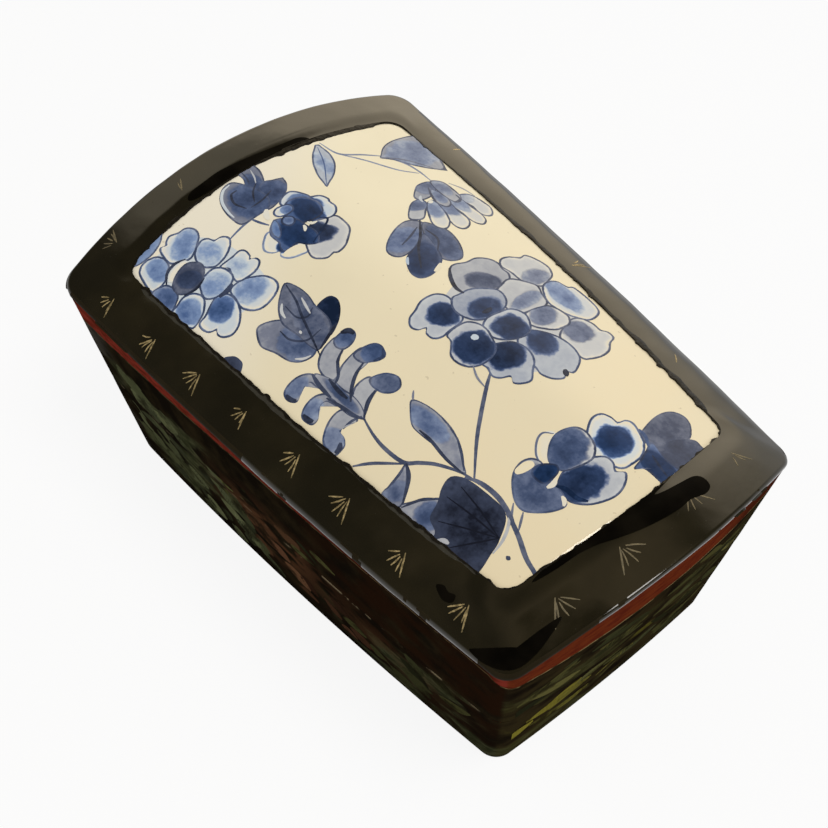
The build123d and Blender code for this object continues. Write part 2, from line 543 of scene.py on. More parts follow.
def makePorcelain():
    s = porcelainShape
    ring, _ = panelRing(s["under"])
    middle = cornerSteps // 2 + 1
    turned = np.roll(ring, middle, axis=0)
    long, short = sideSteps[0] + cornerSteps, sideSteps[1] + cornerSteps
    front = turned[:long + 1]
    narrow = turned[long:long + short + 1]
    back = turned[long + short:2 * long + short + 1][::-1]
    wide = np.concatenate((turned[2 * long + short:], turned[:1]))[::-1]
    u = np.linspace(0, 1, long + 1)[None, :, None]
    v = np.linspace(0, 1, short + 1)[:, None, None]
    # a sheet stretched between the four sides
    corners = (1 - v) * ((1 - u) * front[0] + u * front[-1]) + v * ((1 - u) * back[0] + u * back[-1])
    plan = (1 - v) * front[None] + v * back[None] + (1 - u) * wide[:, None] + u * narrow[:, None] - corners
    x, y = plan[..., 0].ravel(), plan[..., 1].ravel()
    inside, _ = outlineDistance(x, y, ring)
    lower = np.clip(1 - inside / s["edgeRound"], 0, 1) ** 2 * s["edgeDrop"]
    rows = np.column_stack((x, y, surfaceHeight(x, y) - lower)).reshape(short + 1, long + 1, 3)
    panel = gridPiece("porcelain_panel", rows)
    tidyMesh(panel, 0.002 * mm)
    thicken(panel, s["thickness"])
    return panel


beadShape = {
    "steps": 9,
    "height": 0.26 * mm,
    "sink": 0.5 * mm,            # how far its two edges run down into the gap
    "depth": 0.3 * mm,
}


def makeBead():
    # black lacquered putty: broad and rough at the back and the ends, thin along the front
    s = beadShape
    ring, facing = panelRing(0)
    across = np.linspace(0, 1, s["steps"])
    places = np.column_stack((ring, np.zeros(ringCount)))
    x, y = ring[:, 0] / mm, ring[:, 1] / mm
    back = steps(20, 27, y) * steps(-45, -10, x)
    ends = steps(46, 50, np.abs(x))
    # how far it creeps over the porcelain and over the border, in millimetres
    inner = softNoise(places, 420, 11) * 0.28 + softNoise(places, 150, 12) * 0.2
    inner = inner + softNoise(places, 1100, 13) * 0.14
    nibbles = np.maximum(0, softNoise(places, 620, 17) - 0.12) * 1.5
    inner = inner * (0.8 + 0.7 * back + 0.5 * steps(44, 50, x)) + nibbles * (0.6 + 0.6 * back) - 0.1
    inner = inner + 1.1 * ends * (x < 0) * steps(0, 10, y) * steps(33, 27, y)
    # where the putty spreads widest over the border
    wideBand = ends * (x < 0) * steps(-24, 6, y) * steps(32, 20, y)
    narrowBand = ends * (x > 0) * steps(-26, -12, y) * steps(24, 14, y)
    front = steps(-20, -24, y) * steps(52, 44, np.abs(x))
    outer = 0.75 + 1.1 * front + 0.9 * back + 0.6 * ends + 1.2 * narrowBand + 1.3 * wideBand
    outer = outer + softNoise(places, 240, 14) * (0.45 + 0.6 * back)
    lump = 1 + softNoise(places, 500, 15) * 0.5 + softNoise(places, 170, 16) * 0.4
    rows = []
    for share in across:
        offset = (-inner + (outer + inner) * share) * mm
        plan = ring + facing * offset[:, None]
        onEnds = steps(52, 58, np.abs(x)) * coatShape["ridge"] * 0.42
        swell = math.sin(math.pi * min(1, share ** 0.6)) ** 0.6
        rise = onEnds * share + s["height"] * lump * (0.75 + 0.35 * back) * swell
        low = s["sink"] * (1 if share in (0, 1) else 0)
        rows.append(np.column_stack((plan, archHeight(plan[:, 0], plan[:, 1]) + 0.26 * mm + rise - low)))
    # closed underneath
    rows = np.array(rows)
    under = rows[[-1, 0]].copy()
    under[:, :, 2] -= s["depth"]
    rows = closeRing(np.concatenate((rows, under, rows[:1])))
    bead = gridPiece("putty_bead_line", rows)
    olive = np.concatenate((across, (1, 0, 0)))[:, None] * 1.15 * np.append(front, front[0])[None]
    pointValue(bead, "olive", olive)
    tidyMesh(bead)
    bpy.ops.object.shade_smooth_by_angle(angle=math.radians(50))
    return bead


porcelain = makePorcelain()
bead = makeBead()
print("porcelain panel and bead made")


# cobalt painting: each petal, leaf and line is a thin sheet laid on the glaze, in plan millimetres
paintShape = {
    "start": 0.02 * mm,          # first sheet above the glaze
    "layer": 0.006 * mm,
    "thickness": 0.03 * mm,
    "petalRings": 11,
    "petalTurns": 72,
    "washSize": 1.13,
}
clipRing, _ = panelRing(0.35 * mm)


def layOnGlaze(name, plan, edge, spot, tone, pale, slate, layer):
    # plan is (rows, columns, 2) in millimetres
    x, y = plan[..., 0].ravel() * mm, plan[..., 1].ravel() * mm
    inside, outwards = outlineDistance(x, y, clipRing)
    over = np.minimum(inside, 0)[:, None]
    places = np.column_stack((x, y)) + outwards * over
    height = surfaceHeight(places[:, 0], places[:, 1]) + paintShape["start"] + paintShape["layer"] * layer
    piece = gridPiece(name, np.column_stack((places, height)).reshape(*plan.shape[:2], 3))
    for title, values in (("edge", edge), ("spot", spot), ("tone", tone), ("pale", pale), ("slate", slate)):
        pointValue(piece, title, np.zeros(plan.shape[:2]) + values)
    return piece


def smoothPath(points, count):
    # a smooth line through the points
    points = np.array(points, float)
    padded = np.vstack((2 * points[0] - points[1], points, 2 * points[-1] - points[-2]))
    spans = len(points) - 1
    places = []
    for t in np.linspace(0, spans, count):
        i = min(int(t), spans - 1)
        f = t - i
        a, b, c, d = padded[i:i + 4]
        bend, twist = 2 * a - 5 * b + 4 * c - d, 3 * b - a - 3 * c + d
        places.append(0.5 * (2 * b + (c - a) * f + bend * f ** 2 + twist * f ** 3))
    return np.array(places)


def washField(plan, wash):
    # 1 on the rim of a wash given as (x, y, width, height, turn)
    if wash is None:
        return 9.0
    bend = math.radians(wash[4] if len(wash) > 4 else 0)
    dx, dy = plan[..., 0] - wash[0], plan[..., 1] - wash[1]
    along = dx * math.cos(bend) + dy * math.sin(bend)
    side = dy * math.cos(bend) - dx * math.sin(bend)
    return np.hypot(along / wash[2] * 2, side / wash[3] * 2) / paintShape["washSize"]


def filledPlan(loop, rings, turns):
    # rings of points that fill a closed outline, drawn freehand through its points
    points = np.array(loop, float)
    x, y = points.T
    if np.sum(x * np.roll(y, -1) - y * np.roll(x, -1)) < 0:
        points = points[::-1]
    outline = smoothPath(np.vstack((points[-2:], points, points[:2])), (len(points) + 3) * 12 + 1)[24:-12]
    lengths = np.concatenate(((0,), np.cumsum(np.linalg.norm(np.diff(outline, axis=0), axis=1))))
    even = np.linspace(0, lengths[-1], turns + 1)
    outline = np.column_stack([np.interp(even, lengths, outline[:, i]) for i in (0, 1)])
    centre = outline[:-1].mean(axis=0)
    shares = np.linspace(0.0, 1, rings) ** 0.7
    plan = centre + shares[:, None, None] * (outline - centre)[None]
    return plan, (1 - shares[:, None]) * np.linalg.norm(outline - centre, axis=1)[None] * 0.9


def petal(layer, loop, wash=None, tone=0.6, pale=0.16, slate=0.0, outlined=True):
    plan, edge = filledPlan(loop, paintShape["petalRings"], paintShape["petalTurns"])
    edge = edge + (0 if outlined else 9)
    return layOnGlaze("petal", plan, edge, washField(plan, wash), tone, pale, slate, layer)


def leaf(layer, spine, widths, tone=0.5, pale=0.35, slate=0.0, wash=None, count=40):
    # a leaf or a stroke along a path; widths are full widths at even steps along it
    path = smoothPath(spine, count)
    along = np.gradient(path, axis=0)
    along /= np.linalg.norm(along, axis=1)[:, None]
    side = np.column_stack((-along[:, 1], along[:, 0]))
    share = np.linspace(0, 1, count)
    width = np.interp(share, np.linspace(0, 1, len(widths)), widths)
    if len(widths) > 3:
        width = np.convolve(np.pad(width, 3, mode="edge"), np.ones(7) / 7, "valid")
        width[0], width[-1] = widths[0], widths[-1]
    columns = 5 if max(widths) < 1.3 else 13
    across = np.linspace(-1, 1, columns)
    plan = path[:, None] + side[:, None] * (across[None, :, None] * width[:, None, None] / 2)
    ends = np.minimum(share, 1 - share)[:, None] * np.linalg.norm(path[-1] - path[0])
    edge = np.minimum((1 - np.abs(across))[None] * width[:, None] / 2, ends if max(widths) >= 1.3 else 9)
    return layOnGlaze("leaf", plan, edge, washField(plan, wash), tone, pale, slate, layer)


def line(layer, spine, width=0.5, dark=0.55, slate=0.1, taper=True):
    ends = 0.45 if taper else 0.9
    widths = (width * ends, width, width * 1.1, width * 0.95, width * ends)
    piece = leaf(layer, spine, widths, 0, dark, slate, None, 12 + 9 * len(spine))
    attribute = piece.data.attributes["edge"]
    attribute.data.foreach_set("value", np.full(len(piece.data.vertices), 9, np.float32))
    return piece


def finishPainting(name, parts, material, slotName="blue_white_porcelain"):
    # drop what the panel's edge squeezed flat, then give the sheets a thickness
    motif = joinPieces(parts, name)
    bpy.ops.object.mode_set(mode="EDIT")
    bpy.ops.mesh.select_all(action="SELECT")
    bpy.ops.mesh.dissolve_degenerate(threshold=0.004 * mm)
    bpy.ops.mesh.normals_make_consistent(inside=False)
    bpy.ops.object.mode_set(mode="OBJECT")
    thicken(motif, paintShape["thickness"])
    finishPiece(motif, "lid", material, slotName)


def flowerWideFront():
    blue, white = 0.05, 0.14
    return [
        petal(-1, [(-47, -18), (-38, -15.5), (-29, -16.5), (-27.5, -24), (-29, -30), (-40, -31), (-50, -30),
                   (-51, -24)], None, 0, 0.1, blue, False),
        petal(0, [(-57, -23.6), (-54, -24.8), (-52.4, -27.6), (-52.2, -30), (-53, -32.6), (-57, -31)],
              None, 0, 0.4, blue),
        petal(1, [(-51.6, -28.4), (-50, -27.3), (-47.6, -27.4), (-46.6, -28.4), (-45, -30), (-44.6, -32),
                  (-45, -33.6), (-48, -33.6), (-51, -32.8), (-52.2, -30.8)],
              (-48.2, -29.7, 5.8, 4.2, -8), 0.42, 0.12, blue),
        petal(2, [(-44.8, -34), (-44.6, -31), (-43, -30), (-41, -30), (-39.4, -31.2), (-38.6, -34)],
              (-41.6, -32.4, 5.4, 4.4), 0.54, 0.3, 0.3),
        petal(3, [(-39.4, -29.8), (-38.4, -27.8), (-36, -27), (-33.6, -28.6), (-32.4, -30.6), (-32, -32.8),
                  (-34, -33.6), (-38, -33.8), (-38.8, -32)],
              (-35.7, -31.2, 6, 4.6, -10), 0.46, white, blue),
        petal(4, [(-34.4, -25.4), (-33.4, -23.4), (-31.6, -22.9), (-29.6, -23.1), (-27.4, -24.2),
                  (-25.4, -26.2), (-24.8, -28.4), (-25.8, -30), (-27.2, -30.4), (-28.1, -29.9),
                  (-28.8, -31.2), (-30.4, -31.8), (-32, -31.4), (-32.6, -29.4), (-33.6, -27.6)],
              (-31.3, -26.4, 5.4, 5.4), 0.6, 0.11, blue),
        petal(5, [(-33.6, -22.6), (-33.9, -19.6), (-32.6, -17), (-31, -15.3), (-28.6, -14.6),
                  (-26.8, -15.4), (-25.6, -17.6), (-25.2, -20.4), (-26.2, -22.4), (-28.4, -23.6),
                  (-30.8, -23.2)], (-30.7, -19.5, 5.8, 6.8), 0.34, 0.1, 0.12),
        petal(6, [(-39.6, -20.8), (-39.8, -17.6), (-40, -15.4), (-39, -14.5), (-37.4, -14.6),
                  (-36.6, -15.1), (-36, -14.1), (-34.6, -14.1), (-33.4, -15.8), (-33.2, -18),
                  (-33.8, -20.4), (-36, -20.4), (-38, -19.8)], (-36.8, -18.2, 5.4, 4), 0.2, 0.1, 0.1),
        petal(7, [(-46.6, -21.8), (-47.7, -19.6), (-47.2, -18.2), (-45.8, -17.5), (-45.4, -15.8),
                  (-44, -14.9), (-42.4, -15.7), (-41, -17.4), (-40.2, -19.4), (-40.2, -21.6), (-42, -23.2),
                  (-44.6, -23.2)], (-43.8, -20.3, 6.2, 5, -8), 0.28, 0.11, blue),
        petal(8, [(-45.4, -23.4), (-47.2, -20.6), (-49, -18.9), (-51, -18.6), (-52.6, -19.8),
                  (-52.8, -21.6), (-53.5, -23.4), (-52.8, -24.8), (-52.1, -25.4), (-52.4, -26.6),
                  (-50.5, -27.3), (-47.6, -27.3), (-46.2, -25.4)],
              (-49.1, -22.5, 7.4, 5, -58), 0.37, 0.1, blue),
        petal(9, [(-40.4, -22.4), (-39.4, -20.6), (-37.4, -19.8), (-35.4, -20.1), (-34.3, -21.6),
                  (-33.8, -24), (-34.2, -26), (-35.6, -27.3), (-37.6, -26.9), (-39.6, -25.6)],
              (-36.8, -24, 5.4, 6.2, -30), 0.29, white, blue),
        petal(10, [(-46, -24.6), (-46.4, -26.8), (-45.6, -29), (-44.2, -29.9), (-43, -28), (-44, -24.8)],
              None, 0, 0.04),
        petal(11, [(-45.2, -24.6), (-43.6, -22.9), (-41.8, -22.8), (-40, -24.2), (-39, -26.4),
                   (-39.2, -28.8), (-40.4, -30.3), (-42.6, -30.3), (-44.2, -28.8), (-45.2, -26.6)],
              (-41.8, -26.6, 4, 5, -60), 0.78, 0.62, 0.7),
        line(12, [(-46.2, -24.4), (-46.9, -26.6), (-46.2, -29), (-44.2, -30.6)], 0.6, 0.8, 0.6),
        line(12, [(-39.6, -24.4), (-38.8, -27), (-39.4, -29.6)], 0.5, 0.86, 0.6),
        line(12, [(-34.4, -21.4), (-33.8, -22.8), (-33.7, -25)], 1.1, 0.74, 0.4),
    ]


def leafWide():
    return [
        petal(0, [(-59, -0.4), (-56, 0.8), (-53.4, 0.3), (-51.2, -1), (-50, -4.2), (-52.6, -4.6),
                  (-55, -3.6), (-59, -3.4)], (-52.6, -2.6, 6, 3.6, -10), 0.66, 0.46, 0.55),
        petal(1, [(-51.6, -1.4), (-51, 1), (-50.2, 3.1), (-50.1, 3.1), (-48.2, 2.7), (-46.2, 1),
                  (-44.8, -2), (-44.6, -5), (-48, -6)], (-48, -1.4, 6.4, 7), 0.68, 0.52, 0.55),
        petal(2, [(-52.8, -3.8), (-55.6, -5.4), (-56.1, -7), (-55.4, -8.9), (-53.4, -10.7), (-50.6, -11.7),
                  (-47.4, -11.9), (-44.9, -11.2), (-44.6, -8), (-45, -4.2), (-47.4, -2.6), (-50, -2.8)],
              (-49, -6, 10, 8.4, 10), 0.66, 0.42, 0.5),
        line(3, [(-55.6, -6.6), (-55, -8.7), (-52.8, -10.5), (-49.8, -11.2), (-47.6, -11.2)],
             0.6, 0.12, 0.1),
        line(3, [(-53.3, -6.4), (-53, -8), (-50.6, -8.9), (-47.8, -7.9)], 0.5, 0.85, 0.6),
        line(3, [(-52.2, -2.4), (-50.6, -4.2), (-48.2, -5.6)], 0.4, 0.85, 0.6),
        line(3, [(-48.6, -1), (-47.6, -4), (-47.4, -7)], 0.4, 0.82, 0.6),
        line(3, [(-56.2, -0.8), (-54, -1.4), (-52.4, -2.2)], 0.35, 0.2, 0.4),
        line(3, [(-57, -2.6), (-54.8, -2.8), (-53, -3.4)], 0.35, 0.75, 0.4),
    ]


def flowerWide():
    return [
        petal(0, [(-44.6, 0), (-42.4, 3.8), (-41.2, 6), (-39.4, 6.8), (-38.4, 6.5), (-36.6, 6.6),
                  (-35, 5.4), (-34.6, 3.2), (-36, 0)], (-39.9, 1.4, 8.4, 5.8), 0.82, 0.13, 0.1),
        petal(1, [(-41.8, 3.9), (-44.2, 3.4), (-46, 1.8), (-45.8, -0.4), (-44.2, -2.2), (-41.6, -1)],
              (-42, 1.4, 4.6, 4.6), 0.6, 0.16, 0.15),
        petal(2, [(-39.6, -8), (-38.6, -10.6), (-36.4, -12.1), (-34.6, -11.2), (-33.9, -9.8),
                  (-32.8, -10.5), (-31.2, -9.6), (-30.3, -7.4), (-30.4, -5), (-35, -4)],
              (-34.4, -7.6, 3, 5), 0.8, 0.06, 0.1),
        petal(3, [(-35, 3.6), (-34.6, 4.9), (-32.8, 5.3), (-30, 5), (-28, 3.2), (-26.4, 1), (-25.9, -1.2),
                  (-26.4, -2), (-26.2, -4), (-28, -6), (-30.6, -5.6), (-34, -3.6), (-36, 0)],
              (-33.4, -1.4, 5.2, 8, -38), 0.9, 0.15, 0.5),
        petal(4, [(-44, -0.6), (-43.4, 2.4), (-41.6, 3.8), (-39.4, 4.5), (-37, 3.6), (-36.2, 1.6),
                  (-36.6, -1), (-38, -3), (-42, -3)], (-38.8, 1, 8, 5), 0.92, 0.6, 0.05),
        petal(5, [(-41.4, -5), (-40.8, -7), (-38.8, -8.7), (-36, -8.7), (-34.2, -9.4), (-33.2, -9),
                  (-33.2, -6), (-31.6, -4.6), (-30.6, -2.6), (-33, -1), (-36, -1.4), (-39, -2)],
              (-35.2, -4.4, 8.6, 6.4), 0.86, 0.6, 0.1),
        petal(6, [(-43.9, -3.4), (-43.4, -1), (-42.2, -0.3), (-41, -1), (-40.8, -3), (-41.6, -4.6),
                  (-43, -4.8)], (-42, -1.8, 2.6, 2.8), 0.45, 0.12, 0.1),
        petal(6, [(-41.6, -5.5), (-39.4, -5.6), (-37.6, -6.6), (-36.8, -7.8), (-38.4, -8.3), (-40.2, -7.6)],
              None, 0.6, 0.52),
        petal(6, [(-33.2, -9.2), (-33.1, -6.4), (-32, -5.2), (-31, -6), (-31.2, -8.4), (-32.2, -9.9)],
              None, 0, 0.03),
        petal(7, [(-40.9, -3.4), (-39.7, -2.1), (-38.2, -2.6), (-37.9, -4.2), (-39.4, -5.1), (-40.6, -4.6)],
              (-39.5, -3.5, 2, 2), 0.52, 0.88, 0.3),
        line(8, [(-44.9, -5), (-43.6, -6), (-42.2, -6.4)], 1.2, 0.05),
        line(7, [(-36.7, -0.9), (-35.8, -0.4), (-35.5, 0.8)], 0.6, 0.05, 0.1),
        line(7, [(-36.4, -1.9), (-35.6, -2.2), (-34.9, -2.8)], 0.7, 0.05, 0.1),
        line(7, [(-36.2, 1.8), (-34.4, 2.6), (-31.4, -3.4)], 0.45, 0.97),
        line(1, [(-45.2, -9), (-43, -8.2), (-41, -7.2)], 0.55, 0.62, 0.3),
        line(1, [(-44.9, -5), (-44.8, -9), (-44.4, -12), (-43.4, -16)], 0.5, 0.5, 0.3),
    ]


def stemsWide():
    return [
        line(0, [(-54.6, 16), (-49.5, 17.2), (-46.5, 21.5), (-44, 25)], 0.45, 0.4, 0.3),
        line(0, [(-49.5, 17), (-45, 20.5), (-39, 24.5), (-35.8, 28)], 0.4, 0.38, 0.3),
        line(0, [(-44, 24.8), (-40, 27.5), (-36.5, 28.4), (-32.5, 28.6)], 0.45, 0.42, 0.3),
        leaf(1, [(-54.4, 15.2), (-48.5, 12.6), (-42.4, 8.6)],
             (0.8, 4, 5, 3.8, 0.2), 0.32, 0.24, 0.3, (-48, 12.6, 9, 3)),
        line(2, [(-53.6, 14.8), (-48.5, 12.6), (-43, 9)], 0.3, 0.6),
        leaf(1, [(-43.9, 24), (-43.6, 29), (-40.5, 37)],
             (0.3, 4.5, 8.5, 12, 14), 0.41, 0.32, 0.6, (-42, 31, 9, 12)),
        line(2, [(-43.9, 24.4), (-40.6, 28.6), (-35.4, 32.6)], 0.4, 0.5, 0.5),
    ]


def flowerBack():
    tips = 0.09
    return [
        line(0, [(-30.4, 31.6), (-27.6, 33.2), (-24.6, 33.9)], 0.35, 0.34, 0.6),
        petal(0, [(-26, 32.6), (-24, 34), (-20.4, 34.5), (-18.4, 33.6), (-17.6, 32.2), (-18.8, 30.8),
                  (-22, 30.6), (-26, 30)], (-25.4, 31.4, 4.6, 3.6), 0.3, 0.13, 0.7),
        petal(1, [(-25.6, 30), (-22.6, 30.6), (-19.5, 30.9), (-17, 30.4), (-16, 28.9), (-17, 27.6),
                  (-20, 27), (-25.4, 27.2)], (-24.4, 28.9, 6.4, 3.4), 0.38, tips, 0.55),
        petal(2, [(-26.4, 27.2), (-22, 27.1), (-19, 27.2), (-17.2, 26.1), (-16.6, 24.2), (-17.8, 23),
                  (-20.5, 23), (-25.6, 24.4)], (-24.2, 25.8, 6.6, 4), 0.42, tips, 0.55),
        petal(3, [(-27.2, 24.6), (-23, 24.4), (-20, 23.1), (-18.6, 21.2), (-19.1, 19.8), (-21, 19.2),
                  (-24, 20.4), (-27, 22.6)], (-24.8, 22.8, 5.4, 4, -20), 0.36, tips, 0.5),
        petal(4, [(-28.8, 22.4), (-28.8, 20), (-27, 17.6), (-25, 16.2), (-23.8, 17.4), (-23.5, 19),
                  (-25.4, 21.3), (-27, 22.8)], (-27.6, 20.4, 3.4, 5.4, -20), 0.5, 0.22, 0.6),
        petal(5, [(-32.7, 27.8), (-32.8, 25), (-31.4, 22.9), (-29.8, 21.5), (-28.4, 22.2), (-28.2, 24.6),
                  (-29.6, 27.4), (-31.4, 28.8)], (-31, 26.4, 4.4, 5.6, -20), 0.5, 0.32, 0.7),
        petal(6, [(-30.4, 26.6), (-27.4, 28), (-24.6, 27.4), (-23.9, 25.8), (-25.4, 24.7), (-27.8, 24.9)],
              (-27.6, 26.6, 4.6, 2.4, -10), 0.46, 0.3, 0.6),
        petal(7, [(-32.6, 28.2), (-31.6, 30.4), (-29.4, 31.1), (-26, 31), (-24.4, 30), (-24.4, 28.4),
                  (-26.6, 27.6), (-29.4, 27.4)], (-29.6, 29, 5, 3, 10), 0.43, 0.3, 0.7),
        line(8, [(-31, 26.4), (-28.6, 25.3), (-26.4, 24.6)], 0.5, 0.72, 0.6),
        line(8, [(-26.6, 30.2), (-24.9, 30), (-24.6, 28.2)], 0.5, 0.66, 0.6),
        line(8, [(-27.3, 24.2), (-27, 23.7), (-26.9, 23.1)], 0.9, 0.06, 0.3),
        line(8, [(-29.6, 23.2), (-28.8, 22.4), (-27.8, 22.2)], 0.6, 0.16, 0.3),
    ]


def leafMiddle():
    return [
        petal(0, [(-23.8, 17.4), (-25, 15.2), (-24.4, 12), (-22.6, 8.6), (-20.4, 6.4), (-18.4, 6.4),
                  (-17.1, 8), (-17.4, 11), (-19, 14.4), (-21.4, 18)],
              (-20.6, 11.4, 6.4, 11, -20), 0.5, 0.42, 0.5),
        petal(1, [(-22.8, 17.8), (-20, 20.1), (-17.5, 20.9), (-14, 20.3), (-11, 18.7), (-9.9, 17),
                  (-11, 14.6), (-14, 13.6), (-18.6, 15)], (-16, 17.4, 11, 5.4, -8), 0.62, 0.48, 0.65),
        petal(2, [(-20, 16), (-18.4, 13.2), (-16.9, 9), (-15, 7.2), (-12.4, 6.2), (-10.4, 6.8), (-9.7, 8.8),
                  (-10.2, 11.2), (-12, 14), (-15.4, 15.4)], (-14.4, 10.6, 9, 6.6, -42), 0.84, 0.6, 0.35),
        line(3, [(-24, 18.2), (-20, 15), (-17, 12), (-12.4, 8.8)], 0.6, 0.9, 0.4),
        line(3, [(-20.8, 17), (-17.2, 17.2), (-14.4, 14.8)], 0.45, 0.8, 0.6),
        line(3, [(-22.2, 16), (-20.8, 13), (-19.8, 10)], 0.45, 0.74, 0.5),
        line(4, [(-11.3, 13), (-10.6, 11.8), (-10.2, 10.4)], 0.9, 0.03, 0),
        line(4, [(-16.4, 8.7), (-15.6, 7.9), (-14.7, 7.4)], 0.6, 0.2, 0),
    ]


def peony():
    return [
        petal(-1, [(-4, 25), (3, 29), (12, 28.5), (20, 25), (23, 16), (20, 6), (12, 1), (2, 2), (-4, 8),
                   (-6, 18)], None, 0, 0.14, 0.6, False),
        petal(0, [(-4.6, 28.2), (-4.7, 29.8), (-2.6, 31.2), (0.4, 31.8), (2.8, 30.6), (3.8, 28.6),
                  (4.6, 26), (2, 23.4), (-2, 23), (-4.4, 22.6), (-6, 24), (-5.9, 26)],
              (1.6, 26.8, 4.2, 6.2), 0.42, 0.14, 0.8),
        petal(1, [(3.8, 28.4), (4.6, 30), (6.8, 30.8), (7.6, 32), (12, 32.2), (15.4, 31.4), (16.6, 29),
                  (16.4, 27), (14.6, 25.2), (12.4, 24), (8.6, 23.4), (5.4, 25), (4, 26.6)],
              (8.6, 27.8, 9.4, 4.6, -4), 0.42, 0.1, 0.3),
        petal(2, [(14.4, 24.4), (15.4, 26.4), (17.6, 27.4), (19.6, 27.4), (20.8, 28.4), (22.6, 28.2),
                  (23.4, 26.4), (25, 24.4), (25.4, 21.8), (24.8, 19.4), (23.8, 18), (20, 18), (17, 18.4),
                  (15.4, 21)], (17.9, 22.9, 5.6, 5.8), 0.52, 0.13, 0.8),
        petal(3, [(-9.7, 15), (-8.9, 17.4), (-8.8, 20), (-7.2, 22.2), (-5.2, 23), (-3.4, 22.6),
                  (-1.4, 22.6), (0.4, 20.6), (0.6, 16.4), (-1.2, 13), (-2.6, 10.8), (-4.4, 10.7),
                  (-7.4, 12), (-9.3, 13.4)], (-2.7, 16.7, 7.6, 4.4, 52), 0.64, 0.25, 0.9),
        petal(4, [(12.2, 14.4), (14.4, 17), (17.4, 18.6), (20.6, 18.9), (23.4, 18), (25, 16), (25.7, 13.9),
                  (24.4, 12.9), (25.7, 11.6), (24.6, 9.6), (22.4, 8.5), (20.6, 8.8), (17, 9), (13, 11)],
              (16, 14.7, 7, 5.6, -28), 0.76, 0.22, 0.35),
        petal(5, [(-5.8, 3), (-5.7, 6), (-4.4, 7.7), (-2.6, 8.1), (-0.4, 7.4), (2.6, 6.8), (3.6, 5),
                  (3.8, 2.4), (4.1, 0.2), (3.2, -1.5), (1.4, -1.7), (0.3, -0.8), (-0.4, -2.4), (-2, -2.9),
                  (-3.8, -1.6), (-4.6, 0.4)], (-0.3, 4.1, 5.8, 6), 0.84, 0.19, 0.35),
        petal(6, [(-0.6, 21.6), (1.6, 24), (4, 25.3), (6.4, 24.3), (8.6, 23.6), (9.4, 21.6), (8.8, 18),
                  (7.8, 15.6), (4.4, 15), (1, 16.4), (-0.2, 19)], (5.9, 20.2, 3.4, 8, 6), 0.4, 0.18, 0.7),
        petal(7, [(9, 22.4), (10.2, 23.7), (12, 24.3), (14, 24.3), (15.5, 23), (15.7, 21), (15.4, 19.2),
                  (14, 17.4), (12.2, 16), (9.6, 15.6), (8.4, 18)],
              (11, 20, 4.6, 6.4, 20), 0.46, 0.14, 0.75),
        petal(8, [(12.4, 9.4), (14.6, 11), (17, 11.1), (19.2, 10.1), (21, 8), (22.5, 6.2), (22, 4.2),
                  (20.8, 3), (19.4, 3.7), (18.4, 1.8), (17, 1), (15, 1.6), (13, 1.6), (11, 5)],
              (14.8, 6.6, 6.2, 7.2), 0.93, 0.24, 0.35),
        petal(9, [(-2.7, 10), (-2.5, 13), (-0.6, 16), (1, 17.5), (3.4, 17.2), (5.2, 15.6), (6, 12.6),
                  (5.8, 10), (4.4, 7.6), (1.6, 6.3), (-0.8, 6.6), (-2.7, 8.2)],
              (3.2, 11.7, 5.2, 6.8, -10), 0.78, 0.3, 0.35),
        petal(10, [(5.4, 13), (6.2, 16), (8.4, 17.3), (10.4, 16.9), (12.4, 15.5), (13.4, 13.6), (13, 11),
                   (11.6, 8.6), (9.6, 7.4), (7, 7.6), (5.4, 9.8)],
              (10, 12.2, 6.2, 6.6, -30), 0.84, 0.2, 0.35),
        petal(11, [(3.8, 6.4), (5.6, 8), (8, 8.3), (10.4, 7.5), (12.6, 6.4), (13.8, 4), (13.9, 1.4),
                   (12.8, -0.8), (10.6, -1.9), (8.4, -1.7), (6.8, -0.3), (5.6, 0.7), (4, 1.1), (3.5, 3.4)],
              (9.7, 3.2, 7.4, 7.6), 0.88, 0.2, 0.4),
        line(12, [(7.2, 4.7), (7.9, 4.9), (8.5, 4.7)], 1.5, 0.16, 0.1),
        line(12, [(-9.2, 13.4), (-7, 11.8), (-4.4, 10.8), (-2.2, 11)], 0.8, 0.85, 0.8),
        line(12, [(24, 13.2), (24.8, 12.7), (25.5, 12.2)], 1.1, 0.95, 0.8),
        line(12, [(3.9, 12.8), (4.1, 11.6), (3.9, 10.4)], 1, 0.94, 0.4),
        line(12, [(13, 0), (15.5, -1.2), (18, -1.6)], 0.4, 0.4, 0.6),
        line(0, [(15.6, 2.4), (18, -1), (22, -6), (26, -10.6), (31.5, -16)], 0.75, 0.6, 0.6),
    ]


def leafSlender():
    shape = [(11, -13.4), (13.4, -12.2), (17, -11.7), (21, -12), (24, -13), (27, -14.8), (29.8, -16.5),
             (26, -17), (22, -16.7), (18, -17), (15.4, -16.9), (13, -15.4)]
    return [
        petal(0, shape, (17, -14.4, 10, 3.6), 0.5, 0.36, 0.5),
        line(1, [(17, -16.5), (20, -16.4), (25, -16.9), (29.4, -16.7)], 0.6, 0.8, 0.7),
        line(1, [(23, -12.6), (26, -14.2), (29, -16.2)], 0.5, 0.66, 0.6),
        line(1, [(11.4, -13.3), (10.6, -12.6), (9.8, -11.8)], 0.4, 0.45, 0.5),
    ]


